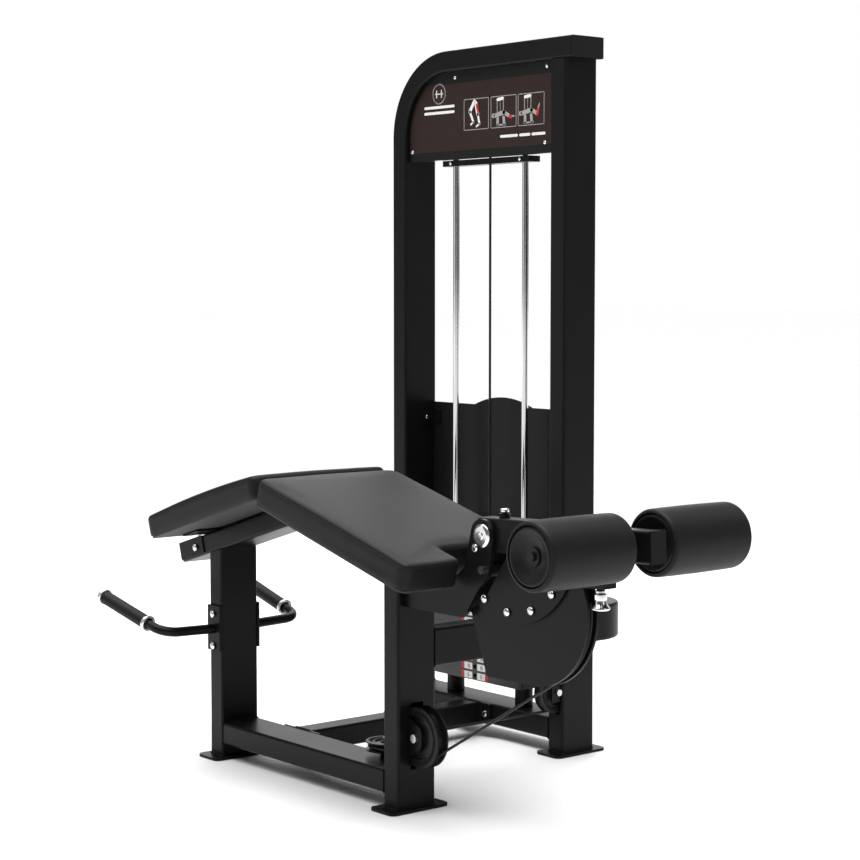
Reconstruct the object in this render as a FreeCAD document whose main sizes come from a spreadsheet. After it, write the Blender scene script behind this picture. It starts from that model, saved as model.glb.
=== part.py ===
"""Lying leg curl with a weight-stack tower, as a parametric FreeCAD document.

Frame: origin on the floor under the knee leg, +X from head to feet, +Y from the bench to the
tower, +Z up, millimetres.  Every driving size is a cell of the sheet "Dims".
"""
import FreeCAD, Part
import math
import os

from FreeCAD import Placement, Rotation, Vector

doc = FreeCAD.newDocument("lying_leg_curl")

# --------------------------------------------------------------------------------------------
# Driving dimensions, millimetres and degrees
# --------------------------------------------------------------------------------------------
SIZES = {
    # frame tube, narrow side, broad side, wall and corner radius
    "tube_thin": 50, "tube_broad": 100, "tube_wall": 3, "tube_corner": 6,
    # bench
    "leg_gap": 646, "rail_low": 34, "foot_thick": 6, "foot_wide": 80, "foot_deep": 155,
    "beam_height": 46, "beam_over": 69, "mitre_x": -300, "pad_meet": -294,
    "strap_long": 98, "strap_thick": 3, "strap_high": 41,
    "chest_x": -745, "chest_z": 560.6, "chest_tilt": 16.4, "chest_long": 464, "chest_wide": 375,
    "chest_thick": 55,
    "thigh_x": -288, "thigh_z": 685.9, "thigh_tilt": 14.87, "thigh_long": 532, "thigh_wide": 385,
    "thigh_thick": 64,
    "board_thick": 12, "board_inset": 10, "pad_corner": 26, "notch_deep": 73, "notch_wide": 84,
    "cross_plate": 5, "cross_long": 60, "cross_wide": 210,
    # tower
    "tower_x": -452, "tower_wide": 627, "tower_y": 568, "tower_high": 1652.5,
    "tower_bend": 175, "tower_overhang": 18.5,
    "link_wide": 60, "link_x": -452, "upper_link_low": 296, "upper_link_high": 80,
    "upper_link_bend": 75,
    "sign_low": 1392, "sign_y": 583, "sheet_thick": 2,
    "cover_low": 122, "cover_side": 795, "cover_peak": 816, "cover_y": 661,
    # weight stack
    "rod_gap": 251.2, "rod_radius": 8, "rod_bar_low": 1377, "rod_bar_high": 14,
    "rod_bar_long": 320, "bumper_radius": 21.5, "bumper_high": 48,
    "plate_pitch": 22, "plate_gap": 0.4, "plate_long": 330, "plate_front": 571,
    "plate_deep": 84, "plates_all": 15, "plates_resting": 10, "head_high": 26,
    "stem_radius": 12.5, "stem_drop": 8, "stem_above": 16, "pin_radius": 4.5,
    # lever
    "pivot_x": 272, "pivot_z": 600, "shaft_radius": 12.5, "shaft_half": 40,
    "arm_tilt": 2.27, "arm_wide": 46, "arm_high": 68, "arm_tail": 28, "arm_long": 328,
    "cheek_inner": 25, "cheek_thick": 8, "cheek_radius": 32, "cap_radius": 23.5,
    "cam_x": 396, "cam_z": 470, "cam_radius": 152, "cam_half": 15, "cam_side": 6,
    "cam_band": 34, "disc_x": 338.5, "disc_z": 617, "disc_radius": 185, "disc_bolts": 163,
    "disc_thick": 5, "stop_x": 270, "stop_z": 532, "stop_radius": 15,
    # roller carriage
    "axle_reach": 378.3, "carriage_wide": 39.4, "carriage_high": 61.4, "carriage_in": 110,
    "carriage_out": 440, "roller_radius": 65, "roller_in": 49, "roller_out": 257,
    "roller_core": 24, "roller_recess": 52, "recess_deep": 12, "hub_disc": 6,
    "pin_reach": 291, "knob_reach": 27,
    # cable and pulleys
    "cable_radius": 3, "cable_low": 106, "knee_pulley_x": 46, "knee_groove": 51,
    "turn_groove": 40, "foot_groove": 44, "foot_pulley_y": 560, "top_groove": 40,
    "cable_high": 1625, "flange": 7, "axle_radius": 6,
    # handles
    "handle_radius": 11, "handle_z": 300, "grip_radius": 16, "grip_long": 180,
    "collar_radius": 19, "collar_long": 12,
    # fasteners
    "bolt_head": 8, "bolt_high": 6, "screw_head": 4.5, "screw_high": 3,
}

sheet = doc.addObject("Spreadsheet::Sheet", "Dims")
for row, (alias, value) in enumerate(SIZES.items(), start=1):
    sheet.set(f"A{row}", alias)
    sheet.set(f"B{row}", str(value))
    sheet.setAlias(f"B{row}", alias)
doc.recompute()


def dim(alias):
    """One driving dimension, read from the sheet."""
    return float(sheet.get(alias))


X, Y, Z = Vector(1, 0, 0), Vector(0, 1, 0), Vector(0, 0, 1)
sub_parts = []


def sub_part(label, thing):
    """Names a finished sub-part and keeps it for export."""
    thing.Label = label
    sub_parts.append(thing)
    return thing


# --------------------------------------------------------------------------------------------
# Building helpers
# --------------------------------------------------------------------------------------------
def block(name, long, wide, high, corner, frame=None):
    """A box whose three sides are expressions over the sheet, at a corner of a frame."""
    box = doc.addObject("Part::Box", name)
    for prop, text in (("Length", long), ("Width", wide), ("Height", high)):
        box.setExpression(prop, text)
    local = Placement(Vector(*corner), Rotation())
    box.Placement = frame.multiply(local) if frame else local
    return box


def turned(direction):
    """The rotation that takes +Z to a direction."""
    return Rotation(Z, Vector(*direction))


def round_bar(name, radius, long, base, direction, frame=None):
    """A cylinder whose radius and length are expressions over the sheet."""
    bar = doc.addObject("Part::Cylinder", name)
    bar.setExpression("Radius", radius)
    bar.setExpression("Height", long)
    local = Placement(Vector(*base), turned(direction))
    bar.Placement = frame.multiply(local) if frame else local
    return bar


def less(name, base, *tools):
    """Base with each tool cut away."""
    for count, tool in enumerate(tools, start=1):
        cut = doc.addObject("Part::Cut", f"{name}_cut{count}")
        cut.Base, cut.Tool = base, tool
        base = cut
    return base


def joined(name, *things):
    """One solid made of several that touch."""
    fusion = doc.addObject("Part::MultiFuse", f"{name}_fuse")
    fusion.Shapes = list(things)
    return fusion


def group(name, *things):
    """Several separate solids kept in one node."""
    pieces = doc.addObject("Part::Compound", f"{name}_group")
    pieces.Links = list(things)
    return pieces


def shaped(name, shape):
    """A sub-part whose shape is made by Part's own functions from the sheet's sizes."""
    feature = doc.addObject("Part::Feature", name)
    feature.Shape = shape
    return feature


def softened(name, base, radius, direction):
    """Base with the edges along a direction rounded."""
    doc.recompute()
    along = Vector(*direction)
    picked = []
    for number, edge in enumerate(base.Shape.Edges, start=1):
        if isinstance(edge.Curve, Part.Line):
            if edge.tangentAt(edge.FirstParameter).cross(along).Length < 1e-6:
                picked.append((number, radius, radius))
    fillet = doc.addObject("Part::Fillet", f"{name}_round")
    fillet.Base = base
    fillet.Edges = picked
    return fillet


def box_tube(name, sides, corner, axis, frame=None):
    """A rectangular tube along "x", "y" or "z" with rounded corners and the frame's wall."""
    outer = block(f"{name}_outer", *sides, corner, frame)
    spin = frame.Rotation if frame else Rotation()
    along = spin.multVec({"x": X, "y": Y, "z": Z}[axis])
    skin = softened(name, outer, dim("tube_corner"), along)
    wall = dim("tube_wall")
    inner_corner = [value + wall for value in corner]
    inner_sides = [f"{side} - 2 * Dims.tube_wall" for side in sides]
    index = "xyz".index(axis)
    inner_corner[index] = corner[index] - 1
    inner_sides[index] = f"{sides[index]} + 2"
    hollow = block(f"{name}_hollow", *inner_sides, inner_corner, frame)
    return less(name, skin, hollow)


def rounded_path(points, radii, closed=False):
    """A wire through points with a tangent arc of its own radius at each corner."""
    points = [Vector(*point) for point in points]
    count = len(points)
    corners = range(count) if closed else range(1, count - 1)
    entry, leave, arcs = {}, {}, {}
    for index in corners:
        here, before, after = points[index], points[index - 1], points[(index + 1) % count]
        come, go = (here - before).normalize(), (after - here).normalize()
        radius = radii[index] if closed else radii[index - 1]
        turn = come.getAngle(go)
        if radius <= 0 or turn < 1e-4:
            entry[index] = leave[index] = here
            continue
        reach = radius * math.tan(turn / 2)
        entry[index], leave[index] = here - come * reach, here + go * reach
        inward = (go - come).normalize()
        middle = here + inward * (radius / math.cos(turn / 2) - radius)
        arcs[index] = Part.Arc(entry[index], middle, leave[index]).toShape()
    edges = []
    last = count if closed else count - 1
    for index in range(last):
        following = (index + 1) % count
        start = leave.get(index, points[index])
        end = entry.get(following, points[following])
        if (end - start).Length > 1e-6:
            edges.append(Part.makeLine(start, end))
        if following in arcs:
            edges.append(arcs[following])
    return Part.Wire(Part.__sortEdges__(edges))


def flat_plate(points, radii, near, thick):
    """A plate with a rounded outline in the XZ plane, from Y = near, thick along +Y."""
    outline = rounded_path([(x, near, z) for x, z in points], radii, closed=True)
    return Part.Face(outline).extrude(Y * thick)


def round_tube(path, radius, bore=0.0):
    """A round bar or tube along a path of lines and tangent arcs."""
    def swept(size):
        start, away = path.Edges[0].valueAt(path.Edges[0].FirstParameter), None
        away = path.Edges[0].tangentAt(path.Edges[0].FirstParameter)
        ring = Part.Wire(Part.makeCircle(size, start, away))
        return path.makePipeShell([ring], True, True)
    solid = swept(radius)
    return solid.cut(swept(bore)) if bore else solid


def disc(centre, radius, long, direction):
    """A plain cylinder shape."""
    return Part.makeCylinder(radius, long, Vector(*centre), Vector(*direction))


# Frames that carry the sloping parts: the two pads and the lever arm
chest_frame = Placement(Vector(dim("chest_x"), 0, dim("chest_z")), Rotation(Y, -dim("chest_tilt")))
thigh_frame = Placement(Vector(dim("thigh_x"), 0, dim("thigh_z")), Rotation(Y, dim("thigh_tilt")))
arm_frame = Placement(Vector(dim("pivot_x"), 0, dim("pivot_z")), Rotation(Y, -dim("arm_tilt")))

thin, broad, wall = dim("tube_thin"), dim("tube_broad"), dim("tube_wall")
rail_low = dim("rail_low")
rail_top = rail_low + thin
foot = dim("foot_thick")
chest_leg_x = -dim("leg_gap")
tower_y = dim("tower_y")
tower_mid_y = tower_y + broad / 2
tower_x = dim("tower_x")
left_outer = tower_x - dim("tower_wide") / 2
right_outer = tower_x + dim("tower_wide") / 2
left_inner, right_inner = left_outer + thin, right_outer - thin
right_mid_x = right_outer - thin / 2
beam_under = dim("tower_high") - thin
chest_thick, thigh_thick = dim("chest_thick"), dim("thigh_thick")
BIG = 900


def bolt(name, base, direction, head="Dims.bolt_head", high="Dims.bolt_high"):
    """A bolt head standing on a face."""
    return round_bar(name, head, high, base, direction)


# --------------------------------------------------------------------------------------------
# Bench frame
# --------------------------------------------------------------------------------------------
TUBE_LEG = ("Dims.tube_thin", "Dims.tube_broad")


def leg(name, centre_x, frame, depth):
    """An upright bench leg cut off along the underside of its pad beam."""
    tube = box_tube(name, (*TUBE_LEG, "640"), (centre_x - thin / 2, -broad / 2, foot), "z")
    under = block(f"{name}_mitre", str(2 * BIG), str(BIG), str(BIG),
                  (-BIG, -BIG / 2, -depth), frame)
    return less(f"{name}_top", tube, under)


beam_depth = dim("cross_plate") + dim("beam_height")
knee_tube = leg("knee", 0, thigh_frame, thigh_thick + beam_depth)
knee_x, knee_groove = dim("knee_pulley_x"), dim("knee_groove")
cable_low = dim("cable_low")
knee_z = cable_low + knee_groove
knee_rim = knee_groove + dim("flange") + 6
knee_slot = block("knee_slot", "20", "34", str(2 * knee_rim + 12),
                  (15, -17, knee_z - knee_rim - 6))
cable_slot = block("knee_cable_slot", "20", "14", "16", (-35, -7, cable_low - 8))
sub_part("knee_leg", less("knee_leg", knee_tube, knee_slot, cable_slot))
sub_part("chest_leg", leg("chest", chest_leg_x, chest_frame, chest_thick + beam_depth))

sub_part("bench_rail", box_tube(
    "bench_rail", ("Dims.leg_gap - Dims.tube_thin", "Dims.tube_broad", "Dims.tube_thin"),
    (chest_leg_x + thin / 2, -broad / 2, rail_low), "x"))

link_x = dim("link_x")
link_low_x = link_x - dim("link_wide") / 2
link_tube = box_tube(
    "link_rail", ("Dims.link_wide", "Dims.tower_y - Dims.tube_broad / 2 - 12", "Dims.tube_thin"),
    (link_low_x, broad / 2 + 6, rail_low), "y")
link_flanges = [
    block(f"link_flange{index}", "130", "6", "Dims.tube_thin", (link_x - 65, at, rail_low))
    for index, at in enumerate((broad / 2, tower_y - 6))]
sub_part("link_rail", joined("link_rail", link_tube, *link_flanges))


def foot_plate(name, centre_x, centre_y):
    """A rounded foot plate under one leg."""
    plate = block(name, "Dims.foot_wide", "Dims.foot_deep", "Dims.foot_thick",
                  (centre_x - dim("foot_wide") / 2, centre_y - dim("foot_deep") / 2, 0))
    return softened(name, plate, 14, (0, 0, 1))


feet_at = [(0, 0), (chest_leg_x, 0), (right_mid_x, tower_mid_y), (left_outer + thin / 2, tower_mid_y)]
sub_part("foot_plates", group("foot_plates", *[
    foot_plate(f"foot_plate{index}", *at) for index, at in enumerate(feet_at)]))


# --------------------------------------------------------------------------------------------
# Pads: sloping beams, cross plates, boards and cushions
# --------------------------------------------------------------------------------------------
def pad_beam(name, frame, start, long, wide, depth, keep_low):
    """A sloping beam under a pad, mitred at the peak of the bench."""
    tube = box_tube(name, (long, str(wide), "Dims.beam_height"),
                    (start, -wide / 2, -depth - dim("beam_height")), "x", frame)
    side = dim("mitre_x") if keep_low else dim("mitre_x") - BIG
    half = block(f"{name}_mitre", str(BIG), str(BIG), str(2 * BIG), (side, -BIG / 2, 0))
    return less(f"{name}_end", tube, half)


sub_part("chest_pad_beam", pad_beam(
    "chest_beam", chest_frame, -dim("beam_over"), "Dims.chest_long + Dims.beam_over + 30", broad,
    chest_thick + dim("cross_plate"), True))
sub_part("thigh_pad_beam", pad_beam(
    "thigh_beam", thigh_frame, -60, "Dims.thigh_long + 20", 2 * dim("cheek_inner"),
    thigh_thick + dim("cross_plate"), False))


def cross_plates(name, frame, places, depth):
    """Flat plates across a pad beam that carry the board."""
    return [block(f"{name}{index}", "Dims.cross_long", "Dims.cross_wide", "Dims.cross_plate",
                  (at, -dim("cross_wide") / 2, -depth - dim("cross_plate")), frame)
            for index, at in enumerate(places)]


chest_plates_at, thigh_plates_at = (34, 354), (60, 380)
beam_top = chest_thick + dim("cross_plate")
straps = [block(f"chest_strap{side + 1}", "Dims.strap_long", "Dims.strap_thick", "Dims.strap_high",
                (-dim("beam_over"), side * broad / 2 - (dim("strap_thick") if side < 0 else 0),
                 -beam_top - dim("strap_high")), chest_frame) for side in (-1, 1)]
sub_part("pad_cross_plates", group(
    "pad_cross_plates",
    *straps, *cross_plates("chest_cross", chest_frame, chest_plates_at, chest_thick),
    *cross_plates("thigh_cross", thigh_frame, thigh_plates_at, thigh_thick)))


def pad_bolts(name, frame, places, depth):
    """Bolt heads under the ends of the cross plates."""
    rows = [(at + dim("cross_long") / 2, side * (dim("cross_wide") / 2 - 22))
            for at in places for side in (-1, 1)]
    return [round_bar(f"{name}{index}", "Dims.bolt_head", "Dims.bolt_high",
                      (at, side, -depth - dim("cross_plate")), (0, 0, -1), frame)
            for index, (at, side) in enumerate(rows)]


frame_bolts = pad_bolts("chest_bolt", chest_frame, chest_plates_at, chest_thick)
frame_bolts += pad_bolts("thigh_bolt", thigh_frame, thigh_plates_at, thigh_thick)
frame_bolts += [round_bar(f"strap_bolt{side + 1}", "Dims.bolt_head", "Dims.bolt_high",
                          (0, side * (broad / 2 + dim("strap_thick")), -beam_top - 24),
                          (0, side, 0), chest_frame) for side in (-1, 1)]


def slab(name, frame, long, wide, thick, inset, top, notch):
    """A cushion or board with round corners, met at the peak, with the mechanism's notch."""
    plate = block(name, f"{long} - 2 * {inset}", f"{wide} - 2 * {inset}", thick,
                  (inset, inset - dim(wide[5:]) / 2, top - dim(thick[5:])), frame)
    upright = frame.Rotation.multVec(Z)
    body = softened(name, plate, dim("pad_corner") - inset, upright)
    beyond = block(f"{name}_beyond", str(BIG), str(BIG), str(BIG),
                   (dim("pad_meet") + (0.5 - BIG if notch else -0.5), -BIG / 2, 200))
    body = less(f"{name}_met", body, beyond)
    if not notch:
        return body
    room = block(f"{name}_notch", f"Dims.notch_deep + {50 + inset}", f"Dims.notch_wide + {2 * inset}",
                 "200", (dim("thigh_long") - dim("notch_deep") - inset,
                         -dim("notch_wide") / 2 - inset, -150), frame)
    return less(f"{name}_notched", body, room)


inset = dim("board_inset")
boards = []
for side, frame, notch in (("chest", chest_frame, False), ("thigh", thigh_frame, True)):
    plan = (f"Dims.{side}_long", f"Dims.{side}_wide")
    board_top = dim("board_thick") - dim(f"{side}_thick")
    cushion = slab(f"{side}_slab", frame, *plan, f"Dims.{side}_thick", 0, 0, notch)
    board = slab(f"{side}_board", frame, *plan, "Dims.board_thick", inset, board_top, notch)
    sub_part(f"{side}_pad", less(f"{side}_pocket", cushion, board))
    boards.append(board)
sub_part("pad_boards", group("pad_boards", *boards))

# --------------------------------------------------------------------------------------------
# Tower
# --------------------------------------------------------------------------------------------
sub_part("tower_base_rail", box_tube(
    "tower_base_rail", ("Dims.tower_wide - 2 * Dims.tube_thin", "Dims.tube_broad", "Dims.tube_thin"),
    (left_inner, tower_y, rail_low), "x"))


def bent_box_tube(points, bend, section, corner):
    """A hollow rectangular tube along a bent path: section is (across the bend, deep)."""
    path = rounded_path(points, [bend] * (len(points) - 2))
    start = path.Edges[0].valueAt(path.Edges[0].FirstParameter)
    tangent = path.Edges[0].tangentAt(path.Edges[0].FirstParameter)
    plane_normal = (Vector(*points[1]) - Vector(*points[0])).cross(
        Vector(*points[2]) - Vector(*points[1])).normalize()
    across = tangent.cross(plane_normal).normalize()

    def ring(shrink):
        half_a, half_b = section[0] / 2 - shrink, section[1] / 2 - shrink
        corners = [start + across * (a * half_a) + plane_normal * (b * half_b)
                   for a, b in ((-1, -1), (1, -1), (1, 1), (-1, 1))]
        radius = max(corner - shrink, 1)
        return rounded_path([tuple(point) for point in corners], [radius] * 4, closed=True)
    outer = path.makePipeShell([ring(0)], True, False)
    inner = path.makePipeShell([ring(wall)], True, False)
    return outer.cut(inner)


tower_mid_z = dim("tower_high") - thin / 2
beam_end = right_outer + dim("tower_overhang")
tower_shape = bent_box_tube(
    [(left_outer + thin / 2, tower_mid_y, foot), (left_outer + thin / 2, tower_mid_y, tower_mid_z),
     (beam_end, tower_mid_y, tower_mid_z)],
    dim("tower_bend"), (thin, broad), dim("tube_corner"))
top_groove, cable_high = dim("top_groove"), dim("cable_high")
top_z = cable_high - top_groove
corner_x = right_mid_x - top_groove
stack_pulley_x = tower_x + top_groove
top_rim = top_groove + dim("flange") - 1
SLOT = 24
for centre in (corner_x, stack_pulley_x):
    tower_shape = tower_shape.cut(Part.makeBox(
        2 * top_rim + 8, SLOT, 12, Vector(centre - top_rim - 4, tower_mid_y - SLOT / 2, beam_under - 6)))
sub_part("tower_tube", shaped("tower_tube", tower_shape))

foot_y, foot_groove = dim("foot_pulley_y"), dim("foot_groove")
foot_z = cable_low + foot_groove
foot_rim = foot_groove + dim("flange") - 1
upright = box_tube("right_upright", (*TUBE_LEG, f"{beam_under - foot}"),
                   (right_inner, tower_y, foot), "z")
foot_slot = block("foot_slot", "28", "20", str(2 * foot_rim + 8),
                  (right_mid_x - 14, tower_y - 10, foot_z - foot_rim - 4))
corner_slot = block("corner_slot", "46", str(SLOT), "90",
                    (right_inner - 10, tower_mid_y - SLOT / 2, top_z - top_rim - 5))
sub_part("right_upright", less("right_upright", upright, foot_slot, corner_slot))
sub_part("tower_end_cap", joined(
    "tower_end_cap",
    block("cap_face", "3", "Dims.tube_broad - 2", "Dims.tube_thin - 2",
          (beam_end, tower_y + 1, beam_under + 1)),
    block("cap_plug", "20", "Dims.tube_broad - 2 * Dims.tube_wall - 2",
          "Dims.tube_thin - 2 * Dims.tube_wall - 2",
          (beam_end - 20, tower_y + wall + 1, beam_under + wall + 1))))

link_mid_z = dim("upper_link_low") + dim("upper_link_high") / 2
sub_part("upper_link_tube", shaped("upper_link_tube", bent_box_tube(
    [(0, broad / 2, link_mid_z), (0, tower_mid_y, link_mid_z), (right_outer, tower_mid_y, link_mid_z)],
    dim("upper_link_bend"), (thin, dim("upper_link_high")), dim("tube_corner"))))

# Sign panel, cut to follow the inside of the tower's bend
bend_inner = dim("tower_bend") - thin / 2
panel = flat_plate(
    [(left_inner, dim("sign_low")), (right_inner, dim("sign_low")),
     (right_inner, beam_under), (left_inner, beam_under)],
    [0, 0, 0, bend_inner], dim("sign_y"), dim("sheet_thick"))
hem = Part.makeBox(right_inner - left_inner, 14, dim("sheet_thick"),
                   Vector(left_inner, dim("sign_y"), dim("sign_low")))
sub_part("sign_panel", shaped("sign_panel", panel.fuse(hem).removeSplitter()))

# Rear cover, a sheet with an arched top edge between the uprights
cover_side, cover_peak = dim("cover_side"), dim("cover_peak")
arch_half = 105
arch_rise = cover_peak - cover_side
low_left, low_right = Vector(left_inner, 0, dim("cover_low")), Vector(right_inner, 0, dim("cover_low"))
top_points = [Vector(right_inner, 0, cover_side), Vector(tower_x + arch_half, 0, cover_side),
              Vector(tower_x, 0, cover_peak), Vector(tower_x - arch_half, 0, cover_side),
              Vector(left_inner, 0, cover_side)]
cover_edges = [
    Part.makeLine(low_left, low_right), Part.makeLine(low_right, top_points[0]),
    Part.makeLine(top_points[0], top_points[1]),
    Part.Arc(top_points[1], top_points[2], top_points[3]).toShape(),
    Part.makeLine(top_points[3], top_points[4]), Part.makeLine(top_points[4], low_left)]
cover = Part.Face(Part.Wire(cover_edges)).extrude(Y * dim("sheet_thick"))
cover.translate(Y * dim("cover_y"))
sub_part("rear_cover", shaped("rear_cover", cover))

BRACKET = 30


def cover_bracket(name, face_x, side, z):
    """A small angle that holds the rear cover to an upright; side is +1 or -1 along X."""
    low_x = face_x if side > 0 else face_x - BRACKET
    arm = block(f"{name}_arm", str(BRACKET), "3", str(BRACKET), (low_x, dim("cover_y") - 3, z))
    foot_x = face_x if side > 0 else face_x - 3
    root = block(f"{name}_root", "3", "38", str(BRACKET), (foot_x, dim("cover_y") - 38, z))
    return joined(name, arm, root)


bracket_rows = (742, 170)
sub_part("cover_brackets", group("cover_brackets", *[
    cover_bracket(f"cover_bracket{index}", face, side, z)
    for index, (face, side, z) in enumerate(
        (face, side, z) for face, side in ((left_inner, 1), (right_inner, -1)) for z in bracket_rows)]))

sign_screws = [(left_inner + 13, 1416), (left_inner + 175, 1588), (right_inner - 26, 1590),
               (right_inner - 32, 1416)]
bracket_screws = [(left_inner + 3, 1, z) for z in bracket_rows] + \
    [(right_inner - 3, -1, z) for z in bracket_rows]
sub_part("panel_screws", group(
    "panel_screws",
    *[bolt(f"sign_screw{index}", (x, dim("sign_y"), z), (0, -1, 0), "Dims.screw_head",
           "Dims.screw_high") for index, (x, z) in enumerate(sign_screws)],
    *[bolt(f"cover_screw{index}", (x, dim("cover_y") - 26, z + BRACKET / 2), (side, 0, 0),
           "Dims.screw_head", "Dims.screw_high")
      for index, (x, side, z) in enumerate(bracket_screws)]))

# --------------------------------------------------------------------------------------------
# Weight stack
# --------------------------------------------------------------------------------------------
rod_xs = [tower_x - dim("rod_gap") / 2, tower_x + dim("rod_gap") / 2]
sub_part("guide_rods", group("guide_rods", *[
    round_bar(f"guide_rod{index}", "Dims.rod_radius", f"{beam_under - rail_top - short}",
              (x, tower_mid_y, rail_top), (0, 0, 1))
    for index, (x, short) in enumerate(zip(rod_xs, (1.6, 0)))]))


def rod_holes(name, low, high, radius):
    """Cutters for the two guide rods."""
    return [round_bar(f"{name}_rod{index}", radius, high, (x, tower_mid_y, low), (0, 0, 1))
            for index, x in enumerate(rod_xs)]


bar_low = dim("rod_bar_low")
top_bar = block("top_bar", "Dims.rod_bar_long", "36", "Dims.rod_bar_high",
                (tower_x - dim("rod_bar_long") / 2, tower_mid_y - 18, bar_low))
cable_hole = round_bar("bar_cable_hole", "9", "20", (tower_x, tower_mid_y, bar_low - 1), (0, 0, 1))
sub_part("rod_top_bar", less("rod_top_bar", softened("top_bar", top_bar, 6, (0, 0, 1)), cable_hole,
                             *rod_holes("top_bar", bar_low - 1, "20", "Dims.rod_radius")))
bumpers = [round_bar(f"bumper{index}", "Dims.bumper_radius", "Dims.bumper_high",
                     (x, tower_mid_y, rail_top), (0, 0, 1)) for index, x in enumerate(rod_xs)]
bumper_holes = rod_holes("bumper", rail_top - 1, "60", "Dims.rod_radius + 0.3")
rubber_stops = [less(f"bumper{index}", bumper, hole)
                for index, (bumper, hole) in enumerate(zip(bumpers, bumper_holes))]

stack_low = rail_top + dim("bumper_high")
pitch = dim("plate_pitch")
plate_front = dim("plate_front")


def weight_plate(index):
    """One weight plate with holes for the rods, the stem and the selector pin."""
    name, low = f"plate{index}", stack_low + index * pitch
    body = block(name, "Dims.plate_long", "Dims.plate_deep", "Dims.plate_pitch - Dims.plate_gap",
                 (tower_x - dim("plate_long") / 2, plate_front, low))
    body = softened(name, body, 8, (0, 0, 1))
    stem = round_bar(f"{name}_stem", "Dims.stem_radius + 0.8", "40",
                     (tower_x, tower_mid_y, low - 5), (0, 0, 1))
    pin = round_bar(f"{name}_pin", "Dims.pin_radius + 1", "50",
                    (tower_x, plate_front - 1, low + pitch / 2), (0, 1, 0))
    return less(name, body, *rod_holes(name, low - 5, "40", "Dims.rod_radius + 0.6"), stem, pin)


resting = int(dim("plates_resting"))
plates = [weight_plate(index) for index in range(int(dim("plates_all")))]
sub_part("resting_plates", group("resting_plates", *plates[:resting]))
head_low = stack_low + dim("plates_all") * pitch
head = block("head_plate", "Dims.plate_long", "Dims.plate_deep", "Dims.head_high",
             (tower_x - dim("plate_long") / 2, plate_front, head_low))
head = less("head_plate", softened("head_plate", head, 8, (0, 0, 1)),
            *rod_holes("head", head_low - 5, "40", "Dims.rod_radius + 0.6"))
stem_top = head_low + dim("head_high") + dim("stem_above")
stem_low = stack_low - dim("stem_drop")
head_bore = round_bar("head_bore", "Dims.stem_radius", "40", (tower_x, tower_mid_y, head_low - 5),
                      (0, 0, 1))
sub_part("lifted_plates", group("lifted_plates", *plates[resting:], less("head", head, head_bore)))
stem = round_bar("stem", "Dims.stem_radius", f"{stem_top - stem_low}",
                 (tower_x, tower_mid_y, stem_low), (0, 0, 1))
stem_holes = [round_bar(f"stem_hole{index}", "Dims.pin_radius + 0.5", "40",
                        (tower_x, tower_mid_y - 20, stack_low + (index + 0.5) * pitch), (0, 1, 0))
              for index in range(int(dim("plates_all")))]
sub_part("stack_stem", less("stack_stem", stem, *stem_holes))
pin_z = stack_low + (resting + 0.5) * pitch
sub_part("selector_pin", joined(
    "selector_pin",
    round_bar("pin_rod", "Dims.pin_radius", "84", (tower_x, plate_front - 30, pin_z), (0, 1, 0)),
    round_bar("pin_knob", "14", "30", (tower_x, plate_front - 34, pin_z), (0, 1, 0))))

# --------------------------------------------------------------------------------------------
# Lever: cheeks, shaft, arm, cam
# --------------------------------------------------------------------------------------------
pivot_x, pivot_z = dim("pivot_x"), dim("pivot_z")
cheek_in, cheek_thick = dim("cheek_inner"), dim("cheek_thick")
cheek_out = cheek_in + cheek_thick
stop_x, stop_z = dim("stop_x"), dim("stop_z")
cheek_r = dim("cheek_radius")
cheek_outline = [
    (pivot_x - cheek_r, pivot_z + cheek_r), (pivot_x + cheek_r, pivot_z + cheek_r),
    (pivot_x + 19, stop_z + 14), (stop_x + 17, stop_z - 10), (stop_x - 14, stop_z - 40),
    (pivot_x - 38, 460), (pivot_x - 60, 430), (thin / 2, 430), (thin / 2, 518),
    (pivot_x - 122, 488), (pivot_x - 58, 530), (pivot_x - 50, 556)]
cheek_rounds = [cheek_r - 0.5, cheek_r - 0.5, 8, 12, 24, 30, 12, 0, 0, 20, 14, 30]
bearing_r = dim("shaft_radius") + 8


def cheek(near):
    """One side plate that carries the pivot, bored for its bearing and the stop bolt."""
    plate = flat_plate(cheek_outline, cheek_rounds, near, cheek_thick)
    plate = plate.cut(disc((pivot_x, near - 1, pivot_z), bearing_r, cheek_thick + 2, (0, 1, 0)))
    return plate.cut(disc((stop_x, near - 1, stop_z), 6, cheek_thick + 2, (0, 1, 0)))


sub_part("pivot_cheeks", shaped("pivot_cheeks", Part.makeCompound(
    [cheek(-cheek_out), cheek(cheek_in)])))
sub_part("pivot_bearings", group("pivot_bearings", *[
    less(f"bearing{index}",
         round_bar(f"bearing_ring{index}", "Dims.shaft_radius + 8", "Dims.cheek_thick",
                   (pivot_x, near, pivot_z), (0, 1, 0)),
         round_bar(f"bearing_bore{index}", "Dims.shaft_radius + 0.05", "40",
                   (pivot_x, near - 10, pivot_z), (0, 1, 0)))
    for index, near in enumerate((-cheek_out, cheek_in))]))
stop_sleeve = less("stop_sleeve",
                   round_bar("stop_ring", "Dims.stop_radius", "2 * Dims.cheek_inner",
                             (stop_x, -cheek_in, stop_z), (0, 1, 0)),
                   round_bar("stop_bore", "6", "60", (stop_x, -30, stop_z), (0, 1, 0)))
sub_part("rubber_stops", group("rubber_stops", *rubber_stops, stop_sleeve))

sub_part("pivot_shaft", round_bar("pivot_shaft", "Dims.shaft_radius", "2 * Dims.shaft_half",
                                  (pivot_x, -dim("shaft_half"), pivot_z), (0, 1, 0)))


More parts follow.
